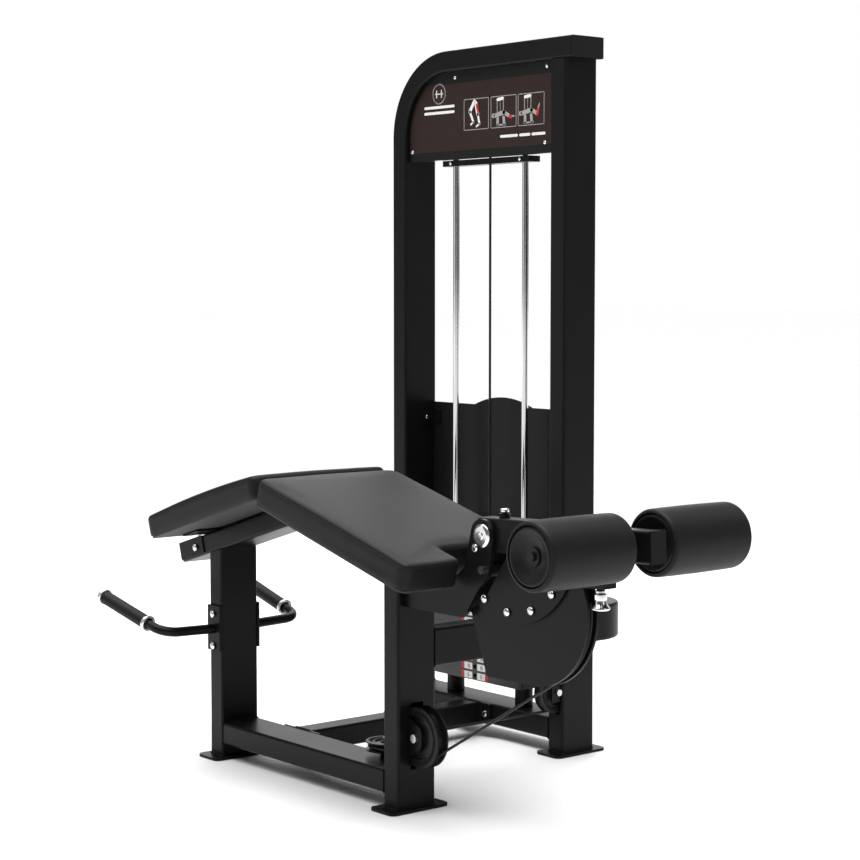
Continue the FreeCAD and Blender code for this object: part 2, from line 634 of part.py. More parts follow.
def shaft_cap(name, side):
    """A chrome cap over one end of the pivot shaft."""
    inner = cheek_out + 0.4
    cap = round_bar(name, "Dims.cap_radius", "10", (pivot_x, side * inner, pivot_z), (0, side, 0))
    bore = round_bar(f"{name}_bore", "Dims.shaft_radius", f"{dim('shaft_half') - inner}",
                     (pivot_x, side * inner, pivot_z), (0, side, 0))
    return less(name, cap, bore)


sub_part("shaft_caps", group("shaft_caps", shaft_cap("cap_near", -1), shaft_cap("cap_far", 1)))

arm_tube = box_tube("arm", ("Dims.arm_long + Dims.arm_tail", "Dims.arm_wide", "Dims.arm_high"),
                    (-dim("arm_tail"), -dim("arm_wide") / 2, -dim("arm_high") / 2), "x", arm_frame)
arm_shaft_hole = round_bar("arm_shaft_hole", "Dims.shaft_radius", "60", (0, -30, 0), (0, 1, 0),
                           arm_frame)
pin_reach, knob_reach = dim("pin_reach"), dim("knob_reach")
pin_hole = round_bar("arm_pin_hole", "5.5", "20", (pin_reach, 0, -dim("arm_high") / 2 - 10),
                     (0, 0, 1), arm_frame)
knob_hole = round_bar("arm_knob_hole", "4.5", "20", (knob_reach, 0, dim("arm_high") / 2 - 10),
                      (0, 0, 1), arm_frame)
sub_part("lever_arm", less("lever_arm", arm_tube, arm_shaft_hole, pin_hole, knob_hole))

cam_x, cam_z, cam_r = dim("cam_x"), dim("cam_z"), dim("cam_radius")
cam_half, cam_side = dim("cam_half"), dim("cam_side")


def arm_under(x):
    """Height of the arm's underside above the floor at x."""
    slope = math.tan(math.radians(dim("arm_tilt")))
    return pivot_z + (x - pivot_x) * slope - dim("arm_high") / 2 / math.cos(math.atan(slope))


def polar(radius, degrees):
    """A point on the cam's round rim."""
    angle = math.radians(degrees)
    return (cam_x + radius * math.cos(angle), cam_z + radius * math.sin(angle))


CAM_LEFT, CAM_LOW = (213, 446), (262, cam_z - cam_r)
CAM_WAIST, CAM_NECK = (266, 478), (296, 521)
CAM_TOP_LEFT, CAM_TOP_RIGHT = 330, 516
RIM_END = 10


def cam_face(shrink, near):
    """The cam's outline in the XZ plane at Y = near, drawn in by shrink at the rim."""
    radius = cam_r - shrink
    low, end = polar(radius, -90), polar(radius, RIM_END)
    middle = polar(radius, (RIM_END - 90) / 2)
    corner_low = (CAM_LOW[0], low[1])
    top_left = (CAM_TOP_LEFT, arm_under(CAM_TOP_LEFT))
    top_right = (CAM_TOP_RIGHT - shrink, arm_under(CAM_TOP_RIGHT - shrink))
    at = {key: Vector(x, near, z) for key, (x, z) in dict(
        low=low, end=end, middle=middle, corner=corner_low, left=CAM_LEFT, waist=CAM_WAIST,
        neck=CAM_NECK, top_left=top_left, top_right=top_right).items()}
    edges = [Part.Arc(at["low"], at["middle"], at["end"]).toShape()]
    chain = ["end", "top_right", "top_left", "neck", "waist", "left", "corner", "low"]
    edges += [Part.makeLine(at[a], at[b]) for a, b in zip(chain, chain[1:])]
    return Part.Face(Part.Wire(edges))


sub_part("cam_plates", shaped("cam_plates", Part.makeCompound(
    [cam_face(0, near).extrude(Y * cam_side) for near in (-cam_half, cam_half - cam_side)])))
cable_r = dim("cable_radius")
groove_r = cam_r - 6
core = cam_face(cam_r - groove_r + cable_r, -cam_half + cam_side)
core = core.extrude(Y * (2 * (cam_half - cam_side)))
hollow = Part.makeCylinder(cam_r - dim("cam_band"), 60, Vector(cam_x, -30, cam_z), Y)
sub_part("cam_core", shaped("cam_core", core.cut(hollow)))

disc_x, disc_z, disc_r = dim("disc_x"), dim("disc_z"), dim("disc_radius")


def disc_plate(near):
    """The round clamp plate on one side of the cam, cut off at the arm and at the stop."""
    whole = disc((disc_x, near, disc_z), disc_r, dim("disc_thick"), (0, 1, 0))
    keep = [(CAM_TOP_LEFT, arm_under(CAM_TOP_LEFT)), CAM_NECK, CAM_WAIST, CAM_LEFT, (213, 300),
            (600, 300), (600, arm_under(600))]
    return whole.common(flat_plate(keep, [0] * 7, near, dim("disc_thick")))


disc_y = cam_half + dim("disc_thick")
sub_part("cam_discs", shaped("cam_discs", Part.makeCompound(
    [disc_plate(-disc_y), disc_plate(cam_half)])))
bolt_step, bolt_first = 24.6, -117.7
cam_bolts = []
for index in range(4):
    angle = math.radians(bolt_first + index * bolt_step)
    x = disc_x + dim("disc_bolts") * math.cos(angle)
    z = disc_z + dim("disc_bolts") * math.sin(angle)
    cam_bolts += [bolt(f"cam_bolt{index}", (x, -disc_y, z), (0, -1, 0)),
                  bolt(f"cam_nut{index}", (x, disc_y, z), (0, 1, 0))]
sub_part("cam_bolts", group("cam_bolts", *cam_bolts))

# Start-angle pop pin on top of the arm, and the housings of both pins
half_high = dim("arm_high") / 2
knob_collar = less("knob_collar",
                   round_bar("knob_collar", "11", "9", (knob_reach, 0, half_high), (0, 0, 1), arm_frame),
                   round_bar("knob_collar_bore", "4.5", "30", (knob_reach, 0, half_high - 5),
                             (0, 0, 1), arm_frame))
pin_block = less("pin_block",
                 block("pin_block", "48", "36", "51", (pin_reach - 24, -18, -half_high - 51), arm_frame),
                 round_bar("pin_block_bore", "5.5", "80", (pin_reach, 0, -half_high - 60), (0, 0, 1),
                           arm_frame))
sub_part("pin_housings", group("pin_housings", knob_collar, pin_block))
sub_part("start_knob", joined(
    "start_knob",
    round_bar("start_pin", "4", "30", (knob_reach, 0, half_high - 18), (0, 0, 1), arm_frame),
    round_bar("start_head", "9", "10", (knob_reach, 0, half_high + 9.3), (0, 0, 1), arm_frame)))
sub_part("pull_pin", joined(
    "pull_pin",
    round_bar("pull_pin_rod", "5", "95", (pin_reach, 0, -half_high - 85), (0, 0, 1), arm_frame),
    round_bar("pull_pin_grip", "12", "36", (pin_reach, 0, -half_high - 88), (0, 0, 1), arm_frame),
    round_bar("pull_pin_flange", "17.5", "8", (pin_reach, 0, -half_high - 93), (0, 0, 1), arm_frame)))

# --------------------------------------------------------------------------------------------
# Roller carriage
# --------------------------------------------------------------------------------------------
axle_reach = dim("axle_reach")
carriage = box_tube(
    "carriage", ("Dims.carriage_out - Dims.carriage_in", "Dims.carriage_wide", "Dims.carriage_high"),
    (dim("carriage_in"), -dim("carriage_wide") / 2, -dim("carriage_high") / 2), "x", arm_frame)
pin_slot = block("carriage_pin_slot", "106", "12", "12",
                 (pin_reach - 68, -6, -dim("carriage_high") / 2 - 6), arm_frame)
axle_hole = round_bar("carriage_axle_hole", "Dims.shaft_radius", "60", (axle_reach, -30, 0),
                      (0, 1, 0), arm_frame)
carriage_end = block("carriage_end", "4", "Dims.carriage_wide", "Dims.carriage_high",
                     (dim("carriage_out"), -dim("carriage_wide") / 2, -dim("carriage_high") / 2),
                     arm_frame)
sub_part("carriage_tube", less(
    "carriage_tube", joined("carriage_tube", carriage, carriage_end), pin_slot, axle_hole))

roller_in, roller_out = dim("roller_in"), dim("roller_out")
recess, hub = dim("recess_deep"), dim("hub_disc")
axle_half = roller_out - recess + 0.5
spacer_in, spacer_out = dim("carriage_wide") / 2, roller_in + recess - 0.5
axle_pieces = [
    round_bar("axle_bar", "Dims.shaft_radius", f"{2 * axle_half}",
              (axle_reach, -axle_half, 0), (0, 1, 0), arm_frame)]
for side in (-1, 1):
    axle_pieces += [
        round_bar(f"axle_spacer{side + 1}", "17", f"{spacer_out - spacer_in}",
                  (axle_reach, side * spacer_in, 0), (0, side, 0), arm_frame),
        round_bar(f"axle_washer{side + 1}", "17", "2.5", (axle_reach, side * axle_half, 0),
                  (0, side, 0), arm_frame),
        round_bar(f"axle_bolt{side + 1}", "Dims.bolt_head", "Dims.bolt_high",
                  (axle_reach, side * (axle_half + 2), 0), (0, side, 0), arm_frame)]
sub_part("roller_axle", joined("roller_axle", *axle_pieces))


def roller(label, side):
    """A foam roller and its flanged core, on one side of the lever arm."""
    start = roller_in if side > 0 else -roller_out
    long = "Dims.roller_out - Dims.roller_in"
    foam = round_bar(label, "Dims.roller_radius", long, (axle_reach, start, 0), (0, 1, 0), arm_frame)
    bore = round_bar(f"{label}_bore", "Dims.roller_core", long, (axle_reach, start, 0), (0, 1, 0),
                     arm_frame)
    ends = [round_bar(f"{label}_recess{index}", "Dims.roller_recess", "Dims.recess_deep + Dims.hub_disc",
                      (axle_reach, at, 0), (0, 1, 0), arm_frame)
            for index, at in enumerate((start, start + roller_out - roller_in - recess - hub))]
    sub_part(f"{label}_roller", less(f"{label}_foam", foam, bore, *ends))
    core_long = roller_out - roller_in - 2 * recess
    core = round_bar(f"{label}_core", "Dims.roller_core", f"{core_long}",
                     (axle_reach, start + recess, 0), (0, 1, 0), arm_frame)
    discs = [round_bar(f"{label}_hub{index}", "Dims.roller_recess", "Dims.hub_disc",
                       (axle_reach, at, 0), (0, 1, 0), arm_frame)
             for index, at in enumerate((start + recess, start + recess + core_long - hub))]
    through = round_bar(f"{label}_core_bore", "Dims.shaft_radius + 0.4", "300",
                        (axle_reach, start - 20, 0), (0, 1, 0), arm_frame)
    sub_part(f"{label}_roller_core", less(f"{label}_spool", joined(f"{label}_spool", core, *discs),
                                          through))


roller("near", -1)
roller("far", 1)


# --------------------------------------------------------------------------------------------
# Pulleys, their brackets and axles
# --------------------------------------------------------------------------------------------
def pulley(label, centre, axis, groove, rim, wide):
    """A grooved pulley about an axis; groove is the radius of the cable's centre line."""
    base = Vector(*centre) - Vector(*axis) * (wide / 2)
    body = round_bar(f"{label}_blank", str(rim), str(wide), tuple(base), axis)
    ring = doc.addObject("Part::Torus", f"{label}_groove")
    ring.Radius1 = rim + 1
    ring.Radius2 = rim + 1 - groove + dim("cable_radius") + 0.3
    ring.Placement = Placement(Vector(*centre), turned(axis))
    bore = round_bar(f"{label}_bore", "Dims.axle_radius + 0.1", str(wide + 4),
                     tuple(Vector(*centre) - Vector(*axis) * (wide / 2 + 2)), axis)
    return sub_part(label, less(label, body, ring, bore))


turn_groove = dim("turn_groove")
turn_x, turn_y = right_mid_x + turn_groove, turn_groove
knee_at, turn_at = (knee_x, 0, knee_z), (turn_x, turn_y, cable_low)
foot_at = (right_mid_x, foot_y, foot_z)
corner_at, stack_at = (corner_x, tower_mid_y, top_z), (stack_pulley_x, tower_mid_y, top_z)
pulley("knee_pulley", knee_at, (0, 1, 0), knee_groove, knee_rim, 30)
pulley("turn_pulley", turn_at, (0, 0, 1), turn_groove, turn_groove + 7, 20)
pulley("foot_pulley", foot_at, (1, 0, 0), foot_groove, foot_rim, 20)
pulley("corner_pulley", corner_at, (0, 1, 0), top_groove, top_rim, 20)
pulley("stack_pulley", stack_at, (0, 1, 0), top_groove, top_rim, 20)

brackets = []
for side, low in (("near", -22), ("far", 17)):
    outline = [(thin / 2, knee_z + 42), (knee_x + 20, knee_z + 20), (knee_x + 20, knee_z - 20),
               (thin / 2, knee_z - 42)]
    strap = flat_plate(outline, [0, 16, 16, 0], low, 5)
    brackets.append(strap.cut(disc((knee_x, low - 1, knee_z), dim("axle_radius"), 8, (0, 1, 0))))
for low_x in (right_mid_x - 18, right_mid_x + 14):
    strap = Part.makeBox(4, tower_y - foot_y + 18, 44, Vector(low_x, foot_y - 18, foot_z - 22))
    brackets.append(strap.cut(disc((low_x - 1, foot_y, foot_z), dim("axle_radius"), 8, (1, 0, 0))))
for centre_x in (corner_x, stack_pulley_x):
    for low_y in (tower_mid_y - SLOT / 2 - 4, tower_mid_y + SLOT / 2):
        hanger = Part.makeBox(28, 4, 34, Vector(centre_x - 14, low_y, beam_under - 34))
        brackets.append(hanger.cut(
            disc((centre_x, low_y - 1, top_z), dim("axle_radius"), 8, (0, 1, 0))))
turn_washer = Part.makeCylinder(16, cable_low - 10.4 - rail_top, Vector(turn_x, turn_y, rail_top))
brackets.append(turn_washer.cut(disc((turn_x, turn_y, rail_top - 1), dim("axle_radius"), 30, (0, 0, 1))))
sub_part("pulley_brackets", shaped("pulley_brackets", Part.makeCompound(brackets)))


def axle(name, centre, axis, half, head="Dims.bolt_head + 1"):
    """A pulley bolt with a head at each end."""
    middle, along = Vector(*centre), Vector(*axis)
    bar = round_bar(name, "Dims.axle_radius", str(2 * half), tuple(middle - along * half), axis)
    heads = [round_bar(f"{name}_head{index}", head, "Dims.bolt_high",
                       tuple(middle + along * (side * half)), tuple(along * side))
             for index, side in enumerate((-1, 1))]
    return joined(name, bar, *heads)


turn_bolt = joined(
    "turn_bolt",
    round_bar("turn_bolt_bar", "Dims.axle_radius", f"{cable_low + 11 - rail_top}",
              (turn_x, turn_y, rail_top), (0, 0, 1)),
    round_bar("turn_bolt_head", "Dims.bolt_head + 1", "Dims.bolt_high",
              (turn_x, turn_y, cable_low + 11), (0, 0, 1)))
sub_part("pulley_axles", group(
    "pulley_axles", axle("knee_axle", knee_at, (0, 1, 0), 22), turn_bolt,
    axle("foot_axle", foot_at, (1, 0, 0), 18, "Dims.bolt_head - 0.5"),
    axle("corner_axle", corner_at, (0, 1, 0), SLOT / 2 + 4),
    axle("stack_axle", stack_at, (0, 1, 0), SLOT / 2 + 4)))

# --------------------------------------------------------------------------------------------
# Cable: round the cam, under the knee pulley, along the bench, up the tower and down the stack
# --------------------------------------------------------------------------------------------
apart = Vector(cam_x - knee_x, 0, cam_z - knee_z)
rim_to_groove = math.acos(-(groove_r - knee_groove) / apart.Length)
tangent_angle = math.atan2(apart.z, apart.x) - rim_to_groove
outward = Vector(math.cos(tangent_angle), 0, math.sin(tangent_angle))
cam_leave = Vector(cam_x, 0, cam_z) + outward * groove_r
knee_touch = Vector(knee_x, 0, knee_z) + outward * knee_groove
run = (knee_touch - cam_leave).normalize()
knee_corner = cam_leave + run * ((cable_low - cam_leave.z) / run.z)
rear_y = foot_y + foot_groove
cable_points = [
    tuple(cam_leave), tuple(knee_corner), (right_mid_x, 0, cable_low),
    (right_mid_x, rear_y, cable_low), (right_mid_x, tower_mid_y, cable_high),
    (tower_x, tower_mid_y, cable_high), (tower_x, tower_mid_y, top_z)]
cable_bends = [knee_groove, turn_groove, foot_groove, top_groove, top_groove]
cable_points[-1] = (tower_x, tower_mid_y, top_z - 1)
whole_path = rounded_path(cable_points, cable_bends)
lead, *others = whole_path.Edges
sub_part("cable_lead", shaped("cable_lead", round_tube(Part.Wire([lead]), cable_r)))
cable_path = Part.Wire(others)
cable_shape = round_tube(cable_path, cable_r)
expected = math.pi * cable_r ** 2 * cable_path.Length
if abs(cable_shape.Volume - expected) > 0.02 * expected:
    raise ValueError("the cable's volume isn't its section times its length")
sub_part("cable_run", shaped("cable_run", cable_shape))
sub_part("cable_drop", round_bar("stack_cable", "Dims.cable_radius", f"{top_z - 1 - stem_top}",
                                 (tower_x, tower_mid_y, stem_top), (0, 0, 1)))
wrap_start = Vector(cam_x, 0, cam_z) + outward * groove_r
wrap_end = Vector(*[polar(groove_r, RIM_END)[0], 0, polar(groove_r, RIM_END)[1]])
wrap_middle_angle = (math.degrees(tangent_angle) + RIM_END) / 2
wrap_middle = Vector(polar(groove_r, wrap_middle_angle)[0], 0, polar(groove_r, wrap_middle_angle)[1])
wrap = Part.Wire([Part.Arc(wrap_start, wrap_middle, wrap_end).toShape()])
sub_part("cam_cable", shaped("cam_cable", round_tube(wrap, cable_r)))

# --------------------------------------------------------------------------------------------
# Hand grips at the head end
# --------------------------------------------------------------------------------------------
handle_z = dim("handle_z")


def handle(side):
    """A bent handle with its mounting plate, its grip and two collars; side is -1 near, +1 far."""
    face = side * broad / 2
    knuckle = Vector(chest_leg_x - 5, side * 188, handle_z + 3)
    grip_way = Vector(-184, side * 10, 45).normalize()
    grip_start = knuckle + grip_way * 44
    grip_end = grip_start + grip_way * (dim("grip_long") + 2 * dim("collar_long"))
    path = rounded_path(
        [(chest_leg_x, face, handle_z), tuple(knuckle), tuple(grip_end)], [44])
    tube = round_tube(path, dim("handle_radius"), dim("handle_radius") - 2.5)
    plate = Part.makeBox(48, 6, 104, Vector(chest_leg_x - 24, min(face, face + side * 6), handle_z - 50))
    inside = Part.makeBox(200, broad, 200, Vector(chest_leg_x - 100, -broad / 2, handle_z - 100))
    plate = plate.fuse(tube).cut(inside).removeSplitter()
    collar_start = grip_end - grip_way * (dim("grip_long") + 2 * dim("collar_long")) + grip_way * 14
    body_start = collar_start + grip_way * dim("collar_long")
    rubber = Part.makeCylinder(dim("grip_radius"), dim("grip_long") - 14, body_start, grip_way)
    rubber = rubber.cut(Part.makeCylinder(dim("handle_radius"), 300, body_start - grip_way * 50, grip_way))
    rings = []
    for start in (collar_start, grip_end - grip_way * dim("collar_long")):
        ring = Part.makeCylinder(dim("collar_radius"), dim("collar_long"), start, grip_way)
        rings.append(ring.cut(Part.makeCylinder(dim("handle_radius"), 40, start - grip_way * 10, grip_way)))
    return plate, rubber, rings


near_tube, near_rubber, near_rings = handle(-1)
far_tube, far_rubber, far_rings = handle(1)
sub_part("handle_tubes", shaped("handle_tubes", Part.makeCompound([near_tube, far_tube])))
sub_part("hand_grips", shaped("hand_grips", Part.makeCompound([near_rubber, far_rubber])))
sub_part("grip_collars", shaped("grip_collars", Part.makeCompound(near_rings + far_rings)))

plate_face = broad / 2 + 6
frame_bolts += [
    bolt(f"handle_bolt{side + 1}{row}", (chest_leg_x, side * plate_face, z), (0, side, 0))
    for side in (-1, 1) for row, z in enumerate((handle_z - 40, handle_z + 34))]
frame_bolts += [
    bolt(f"link_bolt{index}{end}", (link_x + offset, at, rail_low + thin / 2), (0, way, 0))
    for index, offset in enumerate((-50, 50))
    for end, (at, way) in enumerate(((broad / 2 + 6, 1), (tower_y - 6, -1)))]
frame_bolts += [bolt(f"cheek_bolt{side + 1}", (pivot_x - 22, side * cheek_out, pivot_z - 26),
                     (0, side, 0)) for side in (-1, 1)]
frame_bolts += [bolt(f"bar_bolt{index}", (x, tower_mid_y - 18, bar_low + 7), (0, -1, 0),
                     "Dims.screw_head", "Dims.screw_high") for index, x in enumerate(rod_xs)]
stop_bolt = joined(
    "stop_bolt",
    round_bar("stop_bolt_bar", "6", f"{2 * cheek_out}", (stop_x, -cheek_out, stop_z), (0, 1, 0)),
    bolt("stop_bolt_head", (stop_x, -cheek_out, stop_z), (0, -1, 0)),
    bolt("stop_bolt_nut", (stop_x, cheek_out, stop_z), (0, 1, 0)))
frame_bolts.append(stop_bolt)
sub_part("frame_bolts", group("frame_bolts", *frame_bolts))

# --------------------------------------------------------------------------------------------
# Check and export
# --------------------------------------------------------------------------------------------
doc.recompute()
for thing in doc.Objects:
    if "Invalid" in thing.State or "Error" in thing.State:
        raise ValueError(f"{thing.Name} failed: {thing.State}")
for thing in sub_parts:
    if thing.Shape.isNull() or not thing.Shape.isValid() or not thing.Shape.Solids:
        raise ValueError(f"{thing.Label} has no valid solid")

os.makedirs("parts", exist_ok=True)
for thing in sub_parts:
    thing.Shape.exportStep(f"parts/{thing.Label}.step")
print(f"{len(sub_parts)} sub-parts")
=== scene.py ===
"""Visual model of a lying leg curl: its finishes, cushions, rollers, hardware and print.

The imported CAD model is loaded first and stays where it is.  Each sub-assembly below is a class
that holds its sizes in metres, builds its own pieces and dresses the CAD nodes that it owns.
"""
from __future__ import annotations

import logging
import math
from contextlib import contextmanager
from dataclasses import dataclass, field
from enum import Enum
from typing import Callable, Iterable, Iterator, Sequence

import bmesh
import bpy
import numpy as np
from mathutils import Matrix, Vector
from mathutils.bvhtree import BVHTree

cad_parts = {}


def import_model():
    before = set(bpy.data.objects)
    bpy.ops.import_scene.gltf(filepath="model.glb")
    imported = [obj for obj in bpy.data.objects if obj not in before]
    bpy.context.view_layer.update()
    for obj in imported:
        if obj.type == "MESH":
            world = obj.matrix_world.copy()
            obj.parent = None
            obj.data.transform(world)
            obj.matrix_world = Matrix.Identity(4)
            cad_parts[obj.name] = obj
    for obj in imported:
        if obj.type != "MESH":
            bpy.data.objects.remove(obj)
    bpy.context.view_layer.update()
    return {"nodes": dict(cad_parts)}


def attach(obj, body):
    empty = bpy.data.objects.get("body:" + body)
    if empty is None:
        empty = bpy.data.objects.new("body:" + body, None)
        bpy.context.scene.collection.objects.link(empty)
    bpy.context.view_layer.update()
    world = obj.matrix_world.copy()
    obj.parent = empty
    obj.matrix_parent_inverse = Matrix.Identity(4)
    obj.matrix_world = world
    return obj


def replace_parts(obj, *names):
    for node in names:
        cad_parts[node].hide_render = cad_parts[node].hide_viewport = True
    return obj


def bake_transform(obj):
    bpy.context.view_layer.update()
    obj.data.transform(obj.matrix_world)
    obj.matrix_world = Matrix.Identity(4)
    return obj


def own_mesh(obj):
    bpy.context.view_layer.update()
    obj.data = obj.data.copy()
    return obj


LOG = logging.getLogger("leg_curl")
Point = tuple[float, float, float]
Loop = list[tuple[float, float]]


# --------------------------------------------------------------------------------------------
# Shader maths
# --------------------------------------------------------------------------------------------
class Signal:
    """A value in a material's node tree that takes Python's arithmetic."""

    def __init__(self, shader: Shader, socket: bpy.types.NodeSocket) -> None:
        """Wraps one output socket of a shader's tree."""
        self.shader = shader
        self.socket = socket

    def _math(self, operation: str, first: Signal | float, second: Signal | float) -> Signal:
        """Adds one Math node.

        Args:
            operation: the node's operation.
            first: its first value or link.
            second: its second value or link.

        Returns:
            The node's result.
        """
        return self.shader.node("ShaderNodeMath", {"operation": operation}, {0: first, 1: second})

    def __add__(self, other: Signal | float) -> Signal:
        """Sum."""
        return self._math("ADD", self, other)

    __radd__ = __add__

    def __sub__(self, other: Signal | float) -> Signal:
        """Difference."""
        return self._math("SUBTRACT", self, other)

    def __rsub__(self, other: Signal | float) -> Signal:
        """Difference, with this value second."""
        return self._math("SUBTRACT", other, self)

    def __mul__(self, other: Signal | float) -> Signal:
        """Product."""
        return self._math("MULTIPLY", self, other)

    __rmul__ = __mul__

    def __pow__(self, other: float) -> Signal:
        """Power."""
        return self._math("POWER", self, other)


class Shader:
    """One material with a Principled surface and the nodes that feed it."""

    def __init__(self, name: str) -> None:
        """Starts a material that holds only its surface and its output."""
        self.material = bpy.data.materials.new(name)
        self.material.use_nodes = True
        self.tree = self.material.node_tree
        self.tree.nodes.clear()
        end = self.tree.nodes.new("ShaderNodeOutputMaterial")
        self.surface = self.tree.nodes.new("ShaderNodeBsdfPrincipled")
        self.tree.links.new(self.surface.outputs[0], end.inputs["Surface"])

    def node(self, kind: str, settings: dict[str, object] | None = None,
             inputs: dict[str | int, object] | None = None, output: int | str = 0) -> Signal:
        """Adds a node of any type.

        Args:
            kind: the node's type.
            settings: its properties, or "stops" for a colour ramp's positions and colours.
            inputs: values or signals for its sockets, by name or number.
            output: the socket that is returned.

        Returns:
            The output, as a signal.
        """
        made = self.tree.nodes.new(kind)
        for name, value in (settings or {}).items():
            if name == "stops":
                self._fill_ramp(made.color_ramp, value)
            else:
                setattr(made, name, value)
        for key, value in (inputs or {}).items():
            if isinstance(value, Signal):
                self.tree.links.new(value.socket, made.inputs[key])
            else:
                made.inputs[key].default_value = value
        return Signal(self, made.outputs[output])

    @staticmethod
    def _fill_ramp(ramp: bpy.types.ColorRamp, stops: Sequence[tuple[float, tuple]]) -> None:
        """Puts a ramp's stops in place of the two that it starts with."""
        while len(ramp.elements) < len(stops):
            ramp.elements.new(0.5)
        for element, (position, colour) in zip(ramp.elements, stops):
            element.position = position
            element.color = colour

    def place(self) -> Signal:
        """The point on the surface, in metres in the object's own frame."""
        return self.node("ShaderNodeTexCoord", output="Object")

    def noise(self, scale: float, detail: float = 4.0, rough: float = 0.5,
              stretch: Point = (1, 1, 1)) -> Signal:
        """Cloudy noise from 0 to 1.

        Args:
            scale: features per metre.
            detail: octaves.
            rough: weight of the finer octaves.
            stretch: how much the pattern is squeezed along each axis.

        Returns:
            The noise.
        """
        where = self.node("ShaderNodeVectorMath", {"operation": "MULTIPLY"},
                          {0: self.place(), 1: stretch})
        return self.node("ShaderNodeTexNoise", None,
                         {"Vector": where, "Scale": scale, "Detail": detail, "Roughness": rough})

    def cells(self, scale: float, feature: str = "DISTANCE_TO_EDGE") -> Signal:
        """Voronoi cells, such as the grain of leathercloth."""
        return self.node("ShaderNodeTexVoronoi", {"feature": feature},
                         {"Vector": self.place(), "Scale": scale}, output="Distance")

    def blend(self, factor: Signal, low: tuple, high: tuple) -> Signal:
        """A colour that goes from low to high with a factor."""
        return self.node("ShaderNodeMix", {"data_type": "RGBA"}, {0: factor, 6: low, 7: high}, 2)

    def spread(self, value: Signal, low: float, high: float) -> Signal:
        """A 0 to 1 value carried to the span from low to high."""
        return value * (high - low) + low

    def relief(self, height: Signal, strength: float, depth: float) -> None:
        """Feeds a height through a Bump node to the surface's Normal."""
        raised = self.node("ShaderNodeBump", None,
                           {"Height": height, "Strength": strength, "Distance": depth})
        self.tree.links.new(raised.socket, self.surface.inputs["Normal"])

    def finish(self, **sockets: object) -> bpy.types.Material:
        """Sets or links the surface's sockets.

        Args:
            sockets: values or signals, with underscores for the spaces in a socket's name.

        Returns:
            The material.
        """
        for name, value in sockets.items():
            target = self.surface.inputs[name.replace("_", " ")]
            if isinstance(value, Signal):
                self.tree.links.new(value.socket, target)
            else:
                target.default_value = value
        return self.material


def grey(value: float, warm: float = 0.0) -> tuple[float, float, float, float]:
    """A grey as red, green, blue and alpha, a little warmer or cooler."""
    return (value * (1 + warm), value, value * (1 - warm), 1.0)


# --------------------------------------------------------------------------------------------
# Finishes
# --------------------------------------------------------------------------------------------
@dataclass(frozen=True)
class PowderCoat:
    """Baked black powder paint with a fine orange-peel skin and dusty, rubbed patches."""

    name: str = "black_powder_coat"
    tone: float = 0.0048
    gloss_low: float = 0.3
    gloss_high: float = 0.42
    peel: float = 0.16

    def material(self) -> bpy.types.Material:
        """The finish as a material."""
        shader = Shader(self.name)
        peel = shader.noise(900, 2.0)
        patches = shader.noise(7, 5.0, 0.6)
        fine = shader.noise(2600, 2.0)
        shader.relief(peel * 0.7 + fine * 0.3, self.peel, 0.0004)
        colour = shader.blend(patches, grey(self.tone * 0.8), grey(self.tone * 1.25))
        gloss = shader.spread(patches * 0.6 + fine * 0.4, self.gloss_low, self.gloss_high)
        return shader.finish(Base_Color=colour, Roughness=gloss, Specular_IOR_Level=0.12)


@dataclass(frozen=True)
class Leathercloth:
    """Black upholstery vinyl with a pebbled grain."""

    name: str = "black_leathercloth"
    tone: float = 0.0085
    grain: float = 620.0

    def material(self) -> bpy.types.Material:
        """The finish as a material."""
        shader = Shader(self.name)
        pebbles = shader.cells(self.grain)
        pores = shader.cells(self.grain * 2.4)
        rub = shader.noise(5, 5.0, 0.6)
        shader.relief(pebbles ** 0.5 * 0.75 + pores * 0.5, 0.38, 0.0007)
        colour = shader.blend(rub, grey(self.tone * 0.85), grey(self.tone * 1.2))
        gloss = shader.spread(rub * 0.5 + pebbles * 0.5, 0.4, 0.54)
        return shader.finish(Base_Color=colour, Roughness=gloss, Specular_IOR_Level=0.14)


@dataclass(frozen=True)
class FoamSkin:
    """Closed-cell black foam with a smooth skin and tiny pores."""

    name: str = "black_foam_skin"
    tone: float = 0.0075

    def material(self) -> bpy.types.Material:
        """The finish as a material."""
        shader = Shader(self.name)
        pores = shader.cells(1900, "F1")
        swell = shader.noise(60, 3.0)
        shader.relief(pores * 0.6 + swell * 0.6, 0.22, 0.0006)
        colour = shader.blend(swell, grey(self.tone * 0.85), grey(self.tone * 1.2))
        return shader.finish(Base_Color=colour, Roughness=shader.spread(swell, 0.46, 0.6),
                             Specular_IOR_Level=0.16)


@dataclass(frozen=True)
class Moulded:
    """A moulded black plastic or rubber, from glossy nylon to matt rubber."""

    name: str
    tone: float = 0.012
    gloss_low: float = 0.3
    gloss_high: float = 0.42
    texture: float = 1400.0
    depth: float = 0.12

    def material(self) -> bpy.types.Material:
        """The finish as a material."""
        shader = Shader(self.name)
        skin = shader.noise(self.texture, 3.0)
        wear = shader.noise(22, 4.0)
        shader.relief(skin, self.depth, 0.0004)
        colour = shader.blend(wear, grey(self.tone * 0.85), grey(self.tone * 1.3))
        gloss = shader.spread(wear * 0.5 + skin * 0.5, self.gloss_low, self.gloss_high)
        return shader.finish(Base_Color=colour, Roughness=gloss, Specular_IOR_Level=0.16)


